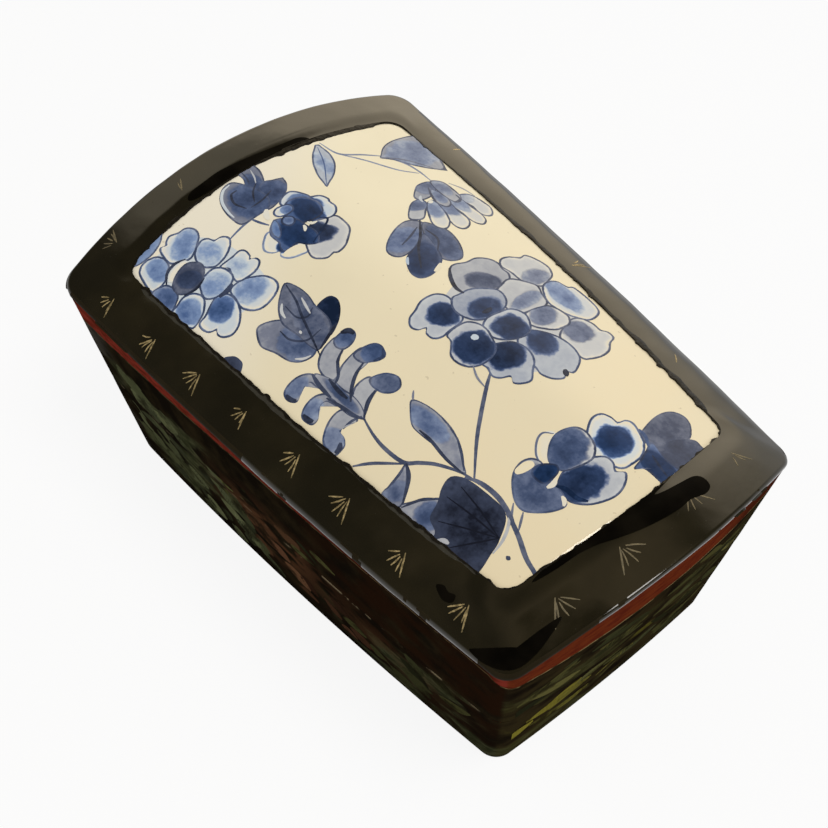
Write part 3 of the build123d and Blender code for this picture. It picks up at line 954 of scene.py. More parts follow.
def leafFront():
    return [
        petal(0, [(-22, -32.6), (-21.2, -31), (-19.8, -30.5), (-18.2, -30.8), (-17.4, -32.6)],
              (-19.8, -32, 4, 3), 0.76, 0.72, 1),
        petal(1, [(-19.6, -19), (-21.6, -20.8), (-22.7, -23.6), (-21.4, -25.1), (-18.6, -26.1),
                  (-15.4, -25.1), (-12, -24.3), (-10, -22.6), (-9.5, -20), (-11.4, -18), (-16, -17.4)],
              (-14, -20.6, 9, 7, 20), 0.56, 0.4, 0.65),
        petal(2, [(-18.3, -12.4), (-18.4, -9.6), (-16.6, -8.8), (-14.2, -10), (-12, -12.4), (-10.8, -15.4),
                  (-14, -15.6), (-17, -14)], (-15.4, -11.6, 7, 5.4, -30), 0.97, 0.8, 0.5),
        petal(3, [(-27, -13.9), (-24.6, -12.6), (-21.4, -12.3), (-18.4, -12.8), (-14, -12.9),
                  (-11.6, -14.4), (-10.4, -17), (-9.8, -19), (-12.4, -19.6), (-15.4, -19.7), (-18, -20.1),
                  (-20, -20.1), (-22.6, -18.9), (-25, -16.8)], (-16, -16, 14, 5.4, -14), 0.58, 0.56, 0.9),
        line(4, [(-26.4, -14), (-22, -14.9), (-18.6, -16.2), (-13, -18), (-8.6, -19.4)], 0.5, 0.85, 0.8),
        line(4, [(-18.4, -13.6), (-17.4, -15.6), (-18.8, -17.2), (-22.4, -17.2)], 0.4, 0.8, 0.8),
        line(4, [(-13.2, -15.6), (-13.2, -19), (-15.6, -21.2), (-18.6, -21.4)], 0.45, 0.8, 0.8),
        line(4, [(-12.2, -12.6), (-11, -15.4), (-9.8, -18.4)], 0.6, 0.86, 0.8),
        line(5, [(-21.8, -13.7), (-19.6, -14.3), (-17.6, -14.8)], 0.5, 0.16, 0.5),
        line(5, [(-23.4, -17.3), (-21.9, -18.5), (-20.2, -18.9)], 0.6, 0.14, 0.4),
        line(5, [(-15.9, -18.7), (-15.5, -18.8), (-15.1, -18.9)], 0.5, 0.12, 0.5),
        line(5, [(-9.9, -20.6), (-10.4, -22), (-11.6, -23.2)], 0.5, 0.15, 0.5),
    ]


def sprig():
    stalk, grey = 0.3, 0.7
    return [
        petal(0, [(-9.9, -14.6), (-9.5, -18), (-8, -20.5), (-5.8, -21.7), (-2.8, -21.6), (-2.6, -20),
                  (-5, -18), (-6.4, -15.4), (-8, -14)], None, 0, stalk, grey),
        petal(1, [(-10, -13), (-9, -11.3), (-7.4, -11.6), (-6.3, -13.4), (-6.4, -15.4), (-8, -16.2),
                  (-9.6, -15.4)], (-8.4, -12.6, 4.4, 5.4), 0.6, 0.4, 0.5),
        petal(1, [(-4.5, -12.6), (-4.3, -17), (-3, -19.8), (-1.2, -21.8), (3, -21.8), (1.4, -19.8),
                  (-0.4, -17.2), (-1.2, -13)], None, 0, stalk, grey),
        petal(2, [(-4.4, -12.6), (-3.6, -10.3), (-2, -9.6), (-0.4, -10.3), (0.3, -12), (-0.6, -13.6),
                  (-1.8, -15), (-4.2, -15)], (-2, -11.6, 4.6, 4.4), 0.66, 0.46, 0.45),
        petal(3, [(1.7, -15.6), (1.2, -18.4), (2.4, -20.6), (4.4, -21.8), (7, -21.6), (5.8, -19.2),
                  (4.7, -16)], None, 0, stalk - 0.04, grey),
        petal(4, [(2, -15.6), (3.2, -13), (5.6, -11.8), (7.5, -12.8), (7.7, -14.6), (6.4, -16.2),
                  (4.4, -16.8), (2.6, -16.6)], (5, -14.2, 6, 5), 0.54, 0.44, 0.75),
        petal(0, [(-3, -23.8), (-5.4, -24), (-5.5, -25.4), (-4.8, -27), (-4.1, -28.6), (-5.6, -29.6),
                  (-7.4, -29.2), (-8.3, -27.4), (-8.2, -24.8), (-6.6, -22.8), (-3, -22.4)],
              (-6.6, -27, 3.6, 5.4), 0.48, 0.36, 0.6),
        petal(3, [(2.4, -23.8), (0.2, -24.2), (-0.4, -25.4), (0.2, -26.8), (1.7, -28), (1.6, -29.6),
                  (-1, -29.9), (-2.5, -27.8), (-2.5, -25), (-0.6, -23), (2.4, -22.6)],
              (-0.8, -27.6, 4, 4.4), 0.44, 0.36, 0.55),
        petal(3, [(7.4, -23), (6.5, -25), (6.8, -26.7), (8.4, -27), (9.7, -28.2), (9.5, -30.6),
                  (6.2, -30.4), (4.4, -28.8), (3.2, -26.4), (3.1, -24), (4.4, -22.8)],
              (6.8, -28.6, 5, 4.4), 0.44, 0.28, 0.65),
        petal(5, [(-6.4, -22.6), (-3, -21), (0, -20.8), (3, -20.4), (6, -20.8), (8, -22), (5.4, -23.6),
                  (1, -23.8), (-3, -23.9)], (1, -22, 9, 2), 0.6, 0.34, 0.7),
        line(6, [(-3.4, -21.4), (0, -21.7), (2.4, -21.6)], 0.8, 0.85, 0.8),
        line(6, [(-6.6, -22.9), (-3.6, -23.5), (0, -23.6)], 0.8, 0.7, 0.7),
        line(6, [(-0.6, -24.2), (3, -23.4), (6, -22.9), (8.2, -22)], 0.7, 0.75, 0.7),
        line(6, [(-6.6, -15.6), (-5.2, -17.8), (-2.6, -19.8), (-1.6, -21.6)], 0.6, 0.78, 0.6),
        line(6, [(-1.5, -14.6), (-0.4, -17.4), (1.4, -19.8), (3.4, -21.6)], 0.7, 0.8, 0.7),
        line(6, [(4.8, -16.8), (5.8, -19.4), (7.6, -21.8)], 0.8, 0.78, 0.8),
        line(6, [(7.2, -22), (6.6, -24), (6.6, -26)], 0.5, 0.66, 0.7),
        line(6, [(-9.9, -13.4), (-9.2, -12), (-7.9, -11.7)], 1.2, 0.9, 0.6),
        line(6, [(-1.4, -9.9), (0, -11), (-0.4, -13)], 0.8, 0.78, 0.3),
        line(6, [(-6.8, -29), (-5.4, -29), (-4.4, -28.4)], 0.9, 0.8, 0.6),
        line(6, [(-1.2, -29.3), (0.4, -29.3), (1.3, -28.8)], 1, 0.85, 0.6),
        line(6, [(8.4, -28), (9.2, -29), (9.2, -30)], 1, 0.8, 0.7),
        line(0, [(7.6, -22), (12, -23), (16, -23.2), (20, -22.6), (22, -20.8), (24.4, -18.9), (28, -17.1),
                 (31, -16.2)], 0.75, 0.64, 0.6),
        line(0, [(13.6, -29.4), (16, -26.5), (20.5, -22.5)], 0.6, 0.6, 0.6),
    ]


def leafCorner():
    grey = 0.97
    parts = [
        petal(0, [(20.4, -22.6), (22.6, -24), (24.4, -25.8), (26, -28.8), (21.8, -29.4), (21.4, -26.6),
                  (20.9, -24.6)], (23.4, -27, 4, 4), 0.54, 0.38, 0.72),
        line(1, [(20.4, -22.4), (23, -24), (25.9, -27.8)], 0.7, 0.8, 0.7),
        line(1, [(20.5, -22.8), (21.2, -25), (21.6, -28)], 0.5, 0.66, 0.6),
        petal(0, [(30.4, -22.6), (28.6, -24), (26.8, -26.2), (26, -29.4), (36, -29), (35, -25)],
              (31, -26, 5, 5), 0.6, 0.32, 0.6),
        line(1, [(30, -22.8), (27.8, -25), (26.2, -28.4)], 0.55, 0.75, 0.6),
        petal(2, [(28.1, -18.8), (29.6, -17.3), (32, -16.6), (36, -16.2), (39.4, -16.2), (41.4, -17.4),
                  (43, -20), (44, -22.6), (44.5, -28.6), (35.6, -29), (34, -27.2), (31.4, -26.2),
                  (30.2, -23.4), (28.7, -21.2)], (38, -22, 14, 11), 0.9, 0.82, grey),
        line(4, [(40.6, -15.8), (42.6, -18), (43.8, -20.4), (44.3, -23)], 0.55, 0.22, 0.9),
        line(4, [(35.4, -28), (36.4, -27.2), (37.4, -27)], 0.8, 0.24, 0.9),
        line(5, [(30, -16.9), (33, -15.7), (37, -15.4), (41, -16.2), (43.4, -17.2)], 0.9, 0.6, 0.8),
    ]
    for end in ((31, -18.6), (30.6, -21.6), (33, -25.6), (38, -27.4)):
        parts.append(line(3, [(43, -20.4), ((43.4 + end[0]) / 2, (-20 + end[1]) / 2), end], 0.3, 1.1, grey))
    return parts


def blossomNarrow():
    return [
        petal(0, [(34.4, 1), (32.7, 0), (32.5, -1.8), (34, -3.8), (36, -5.1), (38.2, -5.4), (38.6, -3)],
              None, 0, 0.04, 0),
        line(1, [(34, 0.8), (32.6, -0.6), (33.2, -2.6), (35.4, -4.8), (38, -5.5)], 0.4, 0.5, 0.4),
        petal(2, [(37, 6), (35.5, 8.6), (35.7, 10.9), (37.4, 11.9), (39.1, 12), (39.6, 13.6), (41, 14.3),
                  (43.6, 13.5), (45.8, 12.3), (47.5, 10), (47.8, 7), (47, 4.4), (42, 2.6), (38.6, 4)],
              (41.9, 8.3, 6.6, 6.6), 0.82, 0.08, 0.1),
        petal(3, [(41.6, 1.6), (43.4, 4.5), (45.4, 4.7), (47, 3.7), (48.4, 4.9), (50.2, 2.8), (50.9, 0),
                  (50.2, -3), (48.6, -5.6), (46, -7.2), (42.6, -6.6), (40.8, -3)],
              (44.8, -3, 6.6, 9.4, -10), 0.84, 0.2, 0.4),
        petal(4, [(34.2, 2.4), (35.2, 4.9), (37, 5.8), (39, 5.5), (41, 4.6), (42.6, 2.4), (42.2, -1),
                  (40.8, -3.8), (38, -4.2), (35.8, -2.4), (34.4, 0)],
              (38, 0.2, 7, 9, 20), 0.66, 0.17, 0.62),
        petal(5, [(34.5, -7.8), (35.2, -5.8), (37, -5), (39, -5.8), (41, -6), (43, -6.4), (44.8, -6.8),
                  (46.6, -8), (45.8, -10.6), (44, -12.8), (42, -14.2), (39.6, -13.9), (37, -12.2),
                  (35.2, -10.2)], (40.8, -9.8, 11, 8.6), 0.58, 0.3, 0.7),
        petal(6, [(35.1, -9.6), (35, -7.4), (35.8, -6.2), (36.8, -6.6), (36.7, -8.6), (36, -10)],
              None, 0, 0.03),
        petal(6, [(38.2, -4.2), (37, -6), (37.4, -8), (39.4, -8.4), (41, -7.6), (40.8, -4.6), (39.6, -3.4)],
              (39.2, -6, 3.4, 4.6), 0.92, 0.7, 0.1),
        line(7, [(41.4, -5.6), (41.8, -6.8), (41.6, -8)], 1, 0.05, 0),
        line(7, [(44.6, -7.2), (45.6, -7.6), (46.3, -8.4)], 0.8, 0.05, 0),
        line(7, [(42.4, -6.6), (44, -5.8), (46.6, -5.6), (48.4, -4.6)], 0.9, 0.97, 0.1),
        line(0, [(39.8, -14.2), (42, -17), (43.6, -20)], 0.5, 0.5, 0.7),
        line(0, [(42.3, -14.2), (44.4, -17.2)], 0.45, 0.5, 0.7),
        line(1, [(40.5, -16.2), (45, -17.8), (49, -19.6), (52.2, -20.4)], 0.85, 0.6, 0.6, False),
    ]


def leafNarrow():
    return [
        petal(0, [(46, 14), (49.6, 20.4), (52, 20.9), (56, 20), (56, 14), (52, 12), (48.8, 11)],
              (51, 16, 9, 9), 0.66, 0.58, 1),
        petal(1, [(42, 19.6), (42.6, 22.5), (44.4, 23.9), (46.4, 23.7), (48.2, 22.3), (49.5, 20.2),
                  (48.4, 17.4), (47, 13), (44, 12.8), (42.7, 15.6)], (45.6, 18.4, 6, 9), 0.64, 0.58, 1),
        petal(2, [(46.2, 13.6), (50, 12.9), (56, 12.6), (56, 8.4), (50, 8), (48.6, 6.4), (47.8, 8.8),
                  (47, 11)], (51, 10.4, 9, 4.6), 0.88, 0.6, 0.15),
        line(3, [(42.6, 14), (44.6, 13.6), (46.8, 12.2)], 0.7, 0.66, 0.15),
        line(3, [(48.4, 11.4), (51, 10.6), (53.4, 10)], 0.5, 0.95, 0.3),
        petal(4, [(46.3, -21.7), (46.8, -21.3), (47.3, -21.7), (46.8, -22.1)], None, 0, 0.75, 1),
    ]


motifMakers = {
    "blue_flower_wide_front": flowerWideFront,
    "blue_leaf_wide": leafWide,
    "blue_flower_wide": flowerWide,
    "blue_stems_wide": stemsWide,
    "blue_flower_back": flowerBack,
    "blue_leaf_middle": leafMiddle,
    "blue_peony": peony,
    "blue_leaf_slender": leafSlender,
    "blue_leaf_front": leafFront,
    "blue_sprig": sprig,
    "blue_leaf_corner": leafCorner,
    "blue_blossom_narrow": blossomNarrow,
    "blue_leaf_narrow": leafNarrow,
}


def placeParts(tree, kind="Object"):
    # the x, y and z of a place on the piece
    split = addNode(tree, "SeparateXYZ")
    feed(tree, split.inputs[0], addNode(tree, "TexCoord").outputs[kind])
    return split.outputs


def makeGlazeGroup():
    # cream glaze with faint clouds and specks, and painted light: lighter and cooler at the wide end and
    # towards the front of the wide half, darker and warmer towards the narrow end
    group, start, end = newGroup("glaze_colour_and_painted_light", [("Tint", "Color", (1, 1, 1, 1))], [("Color", "Color")])
    place = placeParts(group)
    # painted light: the cream darkens from the wide end to the narrow end
    along = between(group, place["X"], -0.06, 0.055)
    base = blendColours(group, along, (0.85, 0.775, 0.565), (0.81, 0.70, 0.475))
    clouds = between(group, pattern(group, 45, 3, 0.55), 0.35, 0.7)
    base = blendColours(group, sums(group, "MULTIPLY", clouds, 0.5), base, (0.79, 0.71, 0.51))
    # painted light: a lighter, cooler patch towards the front of the wide end
    slant = sums(group, "MULTIPLY_ADD", place["Y"], 0.8, place["X"])
    paintedLightPatch = sums(group, "MULTIPLY", between(group, slant, -0.03, -0.06), 0.85)
    base = blendColours(group, paintedLightPatch, base, (0.85, 0.8, 0.67))
    specks = between(group, pattern(group, 900, 1, 0.5), 0.755, 0.79)
    base = blendColours(group, sums(group, "MULTIPLY", specks, 0.3), base, (0.36, 0.28, 0.18))
    feed(group, end.inputs["Color"], blendColours(group, 1.0, base, start.outputs["Tint"], "MULTIPLY"))
    return group


def makeGlossGroup():
    # fine waves, hairline scratches and dust that break up a clean reflection
    inputs = [("Smooth", "Float", 0.08), ("Dull", "Float", 0.3)]
    group, start, end = newGroup("handled_gloss", inputs, [("Roughness", "Float"), ("Height", "Float")])
    smears = between(group, pattern(group, 120, 4, 0.6), 0.5, 0.8)
    dust = between(group, pattern(group, 1500, 2, 0.5), 0.7, 0.76)
    wear = sums(group, "ADD", sums(group, "MULTIPLY", smears, 0.35), dust, clamp=True)
    roughness = blendNumbers(group, wear, start.outputs["Smooth"], start.outputs["Dull"])
    feed(group, end.inputs["Roughness"], roughness)
    low = pattern(group, 160, 2, 0.5)
    fine = pattern(group, 700, 2, 0.5)
    feed(group, end.inputs["Height"], sums(group, "MULTIPLY_ADD", fine, 0.12, low))
    return group


glazeGroup, glossGroup = makeGlazeGroup(), makeGlossGroup()


def polish(tree, shader, smooth, dull, strength, depth, relief=None):
    # the handled gloss on a material's roughness and bump, with any relief of its own
    gloss = useGroup(tree, glossGroup, Smooth=smooth, Dull=dull)
    feed(tree, shader.inputs["Roughness"], gloss.outputs["Roughness"])
    height = gloss.outputs["Height"]
    if relief is not None:
        height = sums(tree, "ADD", height, relief)
    bumpFrom(tree, shader, height, strength, depth)


def makeGlaze():
    material, tree, shader = newMaterial("porcelain_glaze", 0.1, Specular_IOR_Level=0.38)
    feed(tree, shader.inputs["Base Color"], useGroup(tree, glazeGroup).outputs["Color"])
    polish(tree, shader, 0.09, 0.16, 0.25, 0.05 * mm)
    return material


def makeCobalt():
    # washes with a wobbling edge, a dark brush outline and pale rims, over the same glaze
    material, tree, shader = newMaterial("cobalt_painting", 0.1, Specular_IOR_Level=0.14)
    ground = useGroup(tree, glazeGroup).outputs["Color"]
    edge, spot = meshValue(tree, "edge"), meshValue(tree, "spot")
    tone, pale, slate = meshValue(tree, "tone"), meshValue(tree, "pale"), meshValue(tree, "slate")
    broad = pattern(tree, 330, 3, 0.6)
    fine = pattern(tree, 1100, 3, 0.6)
    wobble = sums(tree, "MULTIPLY_ADD", broad, 0.8, -0.4)
    spotAt = sums(tree, "ADD", spot, wobble)
    wash = between(tree, spotAt, 1.1, 0.84)
    shade = between(tree, spot, 0.2, 1.0, 0.05, -0.06)
    streaks = between(tree, fine, 0.3, 0.75, -0.035, 0.035)
    clouds = between(tree, broad, 0.3, 0.7, -0.075, 0.075)
    mottle = sums(tree, "ADD", streaks, clouds)
    dark = sums(tree, "ADD", sums(tree, "ADD", tone, shade), mottle)
    low = between(tree, pale, 0.11, 0.24, 0.4, 0.92)
    rim = between(tree, sums(tree, "ADD", edge, sums(tree, "MULTIPLY", wobble, 0.8)), 0.3, 1.5, low, 1.0)
    light = sums(tree, "MULTIPLY", pale, sums(tree, "ADD", rim, sums(tree, "MULTIPLY", mottle, 1.5)))
    density = blendNumbers(tree, wash, light, dark)
    lineWidth = sums(tree, "MULTIPLY_ADD", fine, 0.3, 0.22)
    outline = between(tree, edge, sums(tree, "ADD", lineWidth, 0.16), sums(tree, "SUBTRACT", lineWidth, 0.08))
    lineTone = between(tree, broad, 0.3, 0.7, 0.5, 0.76)
    strength = sums(tree, "MULTIPLY", outline, between(tree, pale, 0.03, 0.08))
    density = sums(tree, "MAXIMUM", density, sums(tree, "MULTIPLY", strength, lineTone))
    blue = ramp(tree, density, [
        (0.0, (0.78, 0.76, 0.69)), (0.14, (0.55, 0.64, 0.72)), (0.34, (0.225, 0.325, 0.54)),
        (0.55, (0.081, 0.145, 0.32)), (0.78, (0.016, 0.045, 0.132)), (1.0, (0.006, 0.02, 0.06)),
    ])
    grey = ramp(tree, density, [
        (0.0, (0.78, 0.76, 0.69)), (0.16, (0.53, 0.54, 0.55)), (0.4, (0.2, 0.22, 0.29)),
        (0.65, (0.06, 0.076, 0.13)), (1.0, (0.009, 0.011, 0.02)),
    ])
    greyShare = sums(tree, "MULTIPLY", slate, blendNumbers(tree, wash, 2.2, 1.0), clamp=True)
    greyShare = sums(tree, "MAXIMUM", greyShare, sums(tree, "MULTIPLY", strength, 0.75))
    paint = blendColours(tree, greyShare, blue, grey)
    shown = between(tree, density, 0.0, 0.1)
    feed(tree, shader.inputs["Base Color"], blendColours(tree, shown, ground, paint))
    polish(tree, shader, 0.09, 0.16, 0.25, 0.05 * mm)
    return material


def makeTopLacquer():
    material, tree, shader = newMaterial("black_top_lacquer", 0.1, Specular_IOR_Level=0.5)
    clouds = between(tree, pattern(tree, 60, 3, 0.6), 0.35, 0.75)
    black = blendColours(tree, clouds, (0.009, 0.0075, 0.0035), (0.017, 0.0135, 0.006))
    feed(tree, shader.inputs["Base Color"], black)
    polish(tree, shader, 0.09, 0.3, 0.35, 0.12 * mm)
    return material


def makeRimLacquer():
    material, tree, shader = newMaterial("worn_rim_lacquer", 0.6, Specular_IOR_Level=0.03)
    brown = blendColours(tree, pattern(tree, 200, 3), (0.012, 0.009, 0.004), (0.026, 0.02, 0.01))
    feed(tree, shader.inputs["Base Color"], brown)
    return material


# a near-black matt paint for the painted dark reflections on the border
def makeDarkReflectionPaint():
    material, tree, shader = newMaterial("painted_dark_reflection", 0.3, Specular_IOR_Level=0.02)
    clouds = between(tree, pattern(tree, 150, 3), 0.4, 0.7)
    black = blendColours(tree, clouds, (0.002, 0.0016, 0.001), (0.005, 0.004, 0.0025))
    feed(tree, shader.inputs["Base Color"], black)
    return material


def makeBeadLacquer():
    material, tree, shader = newMaterial("black_putty_lacquer", 0.3, Specular_IOR_Level=0.12)
    black = blendColours(tree, pattern(tree, 500, 3), (0.004, 0.0035, 0.0025), (0.013, 0.01, 0.006))
    olive = blendColours(tree, pattern(tree, 350, 3), (0.022, 0.02, 0.014), (0.06, 0.056, 0.044))
    wobble = sums(tree, "MULTIPLY_ADD", pattern(tree, 420, 2), 0.8, -0.4)
    share = between(tree, sums(tree, "ADD", meshValue(tree, "olive"), wobble), 0.45, 0.6)
    feed(tree, shader.inputs["Base Color"], blendColours(tree, share, black, olive))
    bumpFrom(tree, shader, pattern(tree, 900, 4, 0.65), 0.8, 0.3 * mm)
    return material


def makeSideLacquer():
    # near-black ground with a red band, a pale gilt line under it, and streaky foliage
    material, tree, shader = newMaterial("painted_side_lacquer", 0.3, Specular_IOR_Level=0.0)
    clouds = between(tree, pattern(tree, 130, 4, 0.6), 0.4, 0.7)
    colour = blendColours(tree, clouds, (0.008, 0.006, 0.004), (0.022, 0.016, 0.008))
    olive = between(tree, pattern(tree, 110, 3, 0.5, (1, 1, 2)), 0.35, 0.65)
    olive = sums(tree, "MULTIPLY", olive, meshValue(tree, "olive"))
    colour = blendColours(tree, olive, colour, (0.034, 0.026, 0.011))
    streak = pattern(tree, 46, 3, 0.5, (1, 1, 2.4), distortion=0.8)
    blotch = pattern(tree, 95, 3, 0.5, (1, 1, 1.6), (0.3, 0.1, 0.2))
    fleck = pattern(tree, 300, 3, 0.55, (1, 1, 2.4), (0.1, 0.4, 0.2))
    brown = sums(tree, "MULTIPLY", between(tree, blotch, 0.32, 0.62), meshValue(tree, "brown"))
    colour = blendColours(tree, brown, colour, (0.018, 0.008, 0.004))
    green = sums(tree, "MULTIPLY", between(tree, streak, 0.5, 0.62), meshValue(tree, "green"))
    flecks = between(tree, fleck, 0.38, 0.62)
    leafColour = blendColours(tree, flecks, (0.03, 0.034, 0.015), (0.068, 0.072, 0.036))
    leafColour = blendColours(tree, meshValue(tree, "yellow"), leafColour, (0.15, 0.135, 0.018))
    colour = blendColours(tree, green, colour, leafColour)
    rust = between(tree, sums(tree, "MULTIPLY_ADD", fleck, 0.3, blotch), 0.56, 0.7)
    rust = sums(tree, "MULTIPLY", rust, meshValue(tree, "rust"))
    colour = blendColours(tree, rust, colour, (0.078, 0.036, 0.018))
    grey = sums(tree, "MULTIPLY", between(tree, blotch, 0.5, 0.66), meshValue(tree, "grey"))
    colour = blendColours(tree, grey, colour, (0.06, 0.055, 0.045))
    # the red band has a ragged lower edge, with what is left of a gilt line under it
    ragged = sums(tree, "MULTIPLY_ADD", pattern(tree, 240, 3), 0.9, -0.45)
    above = sums(tree, "ADD", meshValue(tree, "band"), ragged)
    redAmount = meshValue(tree, "red")
    red = blendColours(tree, meshValue(tree, "warm"), (0.235, 0.034, 0.022), (0.15, 0.03, 0.01))
    red = blendColours(tree, between(tree, fleck, 0.35, 0.7), red, (0.10, 0.016, 0.008))
    red = blendColours(tree, redAmount, (0.05, 0.012, 0.006), red)
    band = sums(tree, "MULTIPLY", between(tree, above, -0.1, 0.12), between(tree, redAmount, 0.0, 0.15))
    colour = blendColours(tree, band, colour, red)
    under = sums(tree, "MULTIPLY", between(tree, above, -0.62, -0.42), between(tree, above, -0.02, -0.2))
    gilt = sums(tree, "MULTIPLY", between(tree, fleck, 0.4, 0.55), meshValue(tree, "gilt"))
    colour = blendColours(tree, sums(tree, "MULTIPLY", under, gilt), colour, (0.36, 0.26, 0.12))
    worn = between(tree, pattern(tree, 260, 3, 0.6), 0.5, 0.62)
    worn = sums(tree, "MULTIPLY", meshValue(tree, "worn"), worn)
    colour = blendColours(tree, worn, colour, (0.3, 0.24, 0.15))
    feed(tree, shader.inputs["Base Color"], colour)
    polish(tree, shader, 0.26, 0.5, 0.5, 0.12 * mm, sums(tree, "MULTIPLY", green, 0.4))
    return material


def makeGilt():
    material, tree, shader = newMaterial("worn_gilt", 0.42, Metallic=0.35)
    rubbed = between(tree, pattern(tree, 1300, 3, 0.6), 0.4, 0.62)
    x = placeParts(tree)["X"]
    ends = sums(tree, "MAXIMUM", between(tree, x, 0.049, 0.053), between(tree, x, -0.054, -0.058))
    faint = sums(tree, "MULTIPLY", ends, 0.8)
    colour = blendColours(tree, rubbed, (0.19, 0.145, 0.062), (0.48, 0.37, 0.175))
    feed(tree, shader.inputs["Base Color"], blendColours(tree, faint, colour, (0.11, 0.095, 0.06)))
    return material


def makeRedInside():
    # brushed red lacquer inside; the seam faces and the foot stay black
    material, tree, shader = newMaterial("red_inside_lacquer", 0.28, Specular_IOR_Level=0.4)
    brushed = between(tree, pattern(tree, 70, 5, 0.6, (1, 1, 2.5)), 0.35, 0.7)
    red = blendColours(tree, brushed, (0.27, 0.022, 0.012), (0.17, 0.014, 0.009))
    specks = between(tree, pattern(tree, 600, 3), 0.66, 0.72)
    red = blendColours(tree, specks, red, (0.06, 0.01, 0.006))
    height = placeParts(tree)["Z"]
    fromSeam = sums(tree, "ABSOLUTE", sums(tree, "SUBTRACT", height, boxShape["seam"]))
    black = sums(tree, "LESS_THAN", fromSeam, 0.06 * mm)
    black = sums(tree, "MAXIMUM", black, sums(tree, "LESS_THAN", height, 2.2 * mm))
    feed(tree, shader.inputs["Base Color"], blendColours(tree, black, red, (0.014, 0.01, 0.006)))
    polish(tree, shader, 0.24, 0.45, 0.5, 0.15 * mm)
    return material


def makePaste():
    material, tree, shader = newMaterial("lime_bedding_paste", 0.85)
    lime = blendColours(tree, pattern(tree, 400, 4), (0.42, 0.37, 0.28), (0.58, 0.53, 0.43))
    feed(tree, shader.inputs["Base Color"], lime)
    bumpFrom(tree, shader, pattern(tree, 700, 4, 0.6), 0.6, 0.3 * mm)
    return material


def makeFootRed():
    material, tree, shader = newMaterial("foot_red_lacquer", 0.4, Specular_IOR_Level=0.25)
    # worn red at the edge, plain red on the inside, dark underneath
    height = placeParts(tree)["Z"]
    wear = between(tree, pattern(tree, 300, 4), 0.4, 0.65)
    red = blendColours(tree, wear, (0.24, 0.035, 0.015), (0.09, 0.014, 0.008))
    inside = between(tree, height, boxShape["floorTop"] - 0.3 * mm, boxShape["floorTop"] - 0.1 * mm)
    red = blendColours(tree, inside, red, (0.22, 0.018, 0.01))
    under = sums(tree, "LESS_THAN", height, 0.05 * mm)
    feed(tree, shader.inputs["Base Color"], blendColours(tree, under, red, (0.03, 0.018, 0.01)))
    bumpFrom(tree, shader, pattern(tree, 300, 3), 0.4, 0.15 * mm)
    return material


glaze, cobalt, gilt = makeGlaze(), makeCobalt(), makeGilt()
topLacquer, beadLacquer, sideLacquer = makeTopLacquer(), makeBeadLacquer(), makeSideLacquer()
redInside, paste, footRed = makeRedInside(), makePaste(), makeFootRed()
rimLacquer, darkReflectionPaint = makeRimLacquer(), makeDarkReflectionPaint()
nodeMaterials = {
    "bedding_paste": paste,
    "porcelain_shard": glaze,
    "putty_bead": beadLacquer,
    "base_floor_board": footRed,
}
for name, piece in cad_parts.items():
    piece.data.materials.clear()
    piece.data.materials.append(nodeMaterials.get(name, redInside))
print("materials made")


def softPatch(along, up, middle, height, width, tall):
    # a soft round patch: 1 in its middle, fading outwards
    return np.exp(-((along - middle) / width) ** 2 - ((up - height) / tall) ** 2)


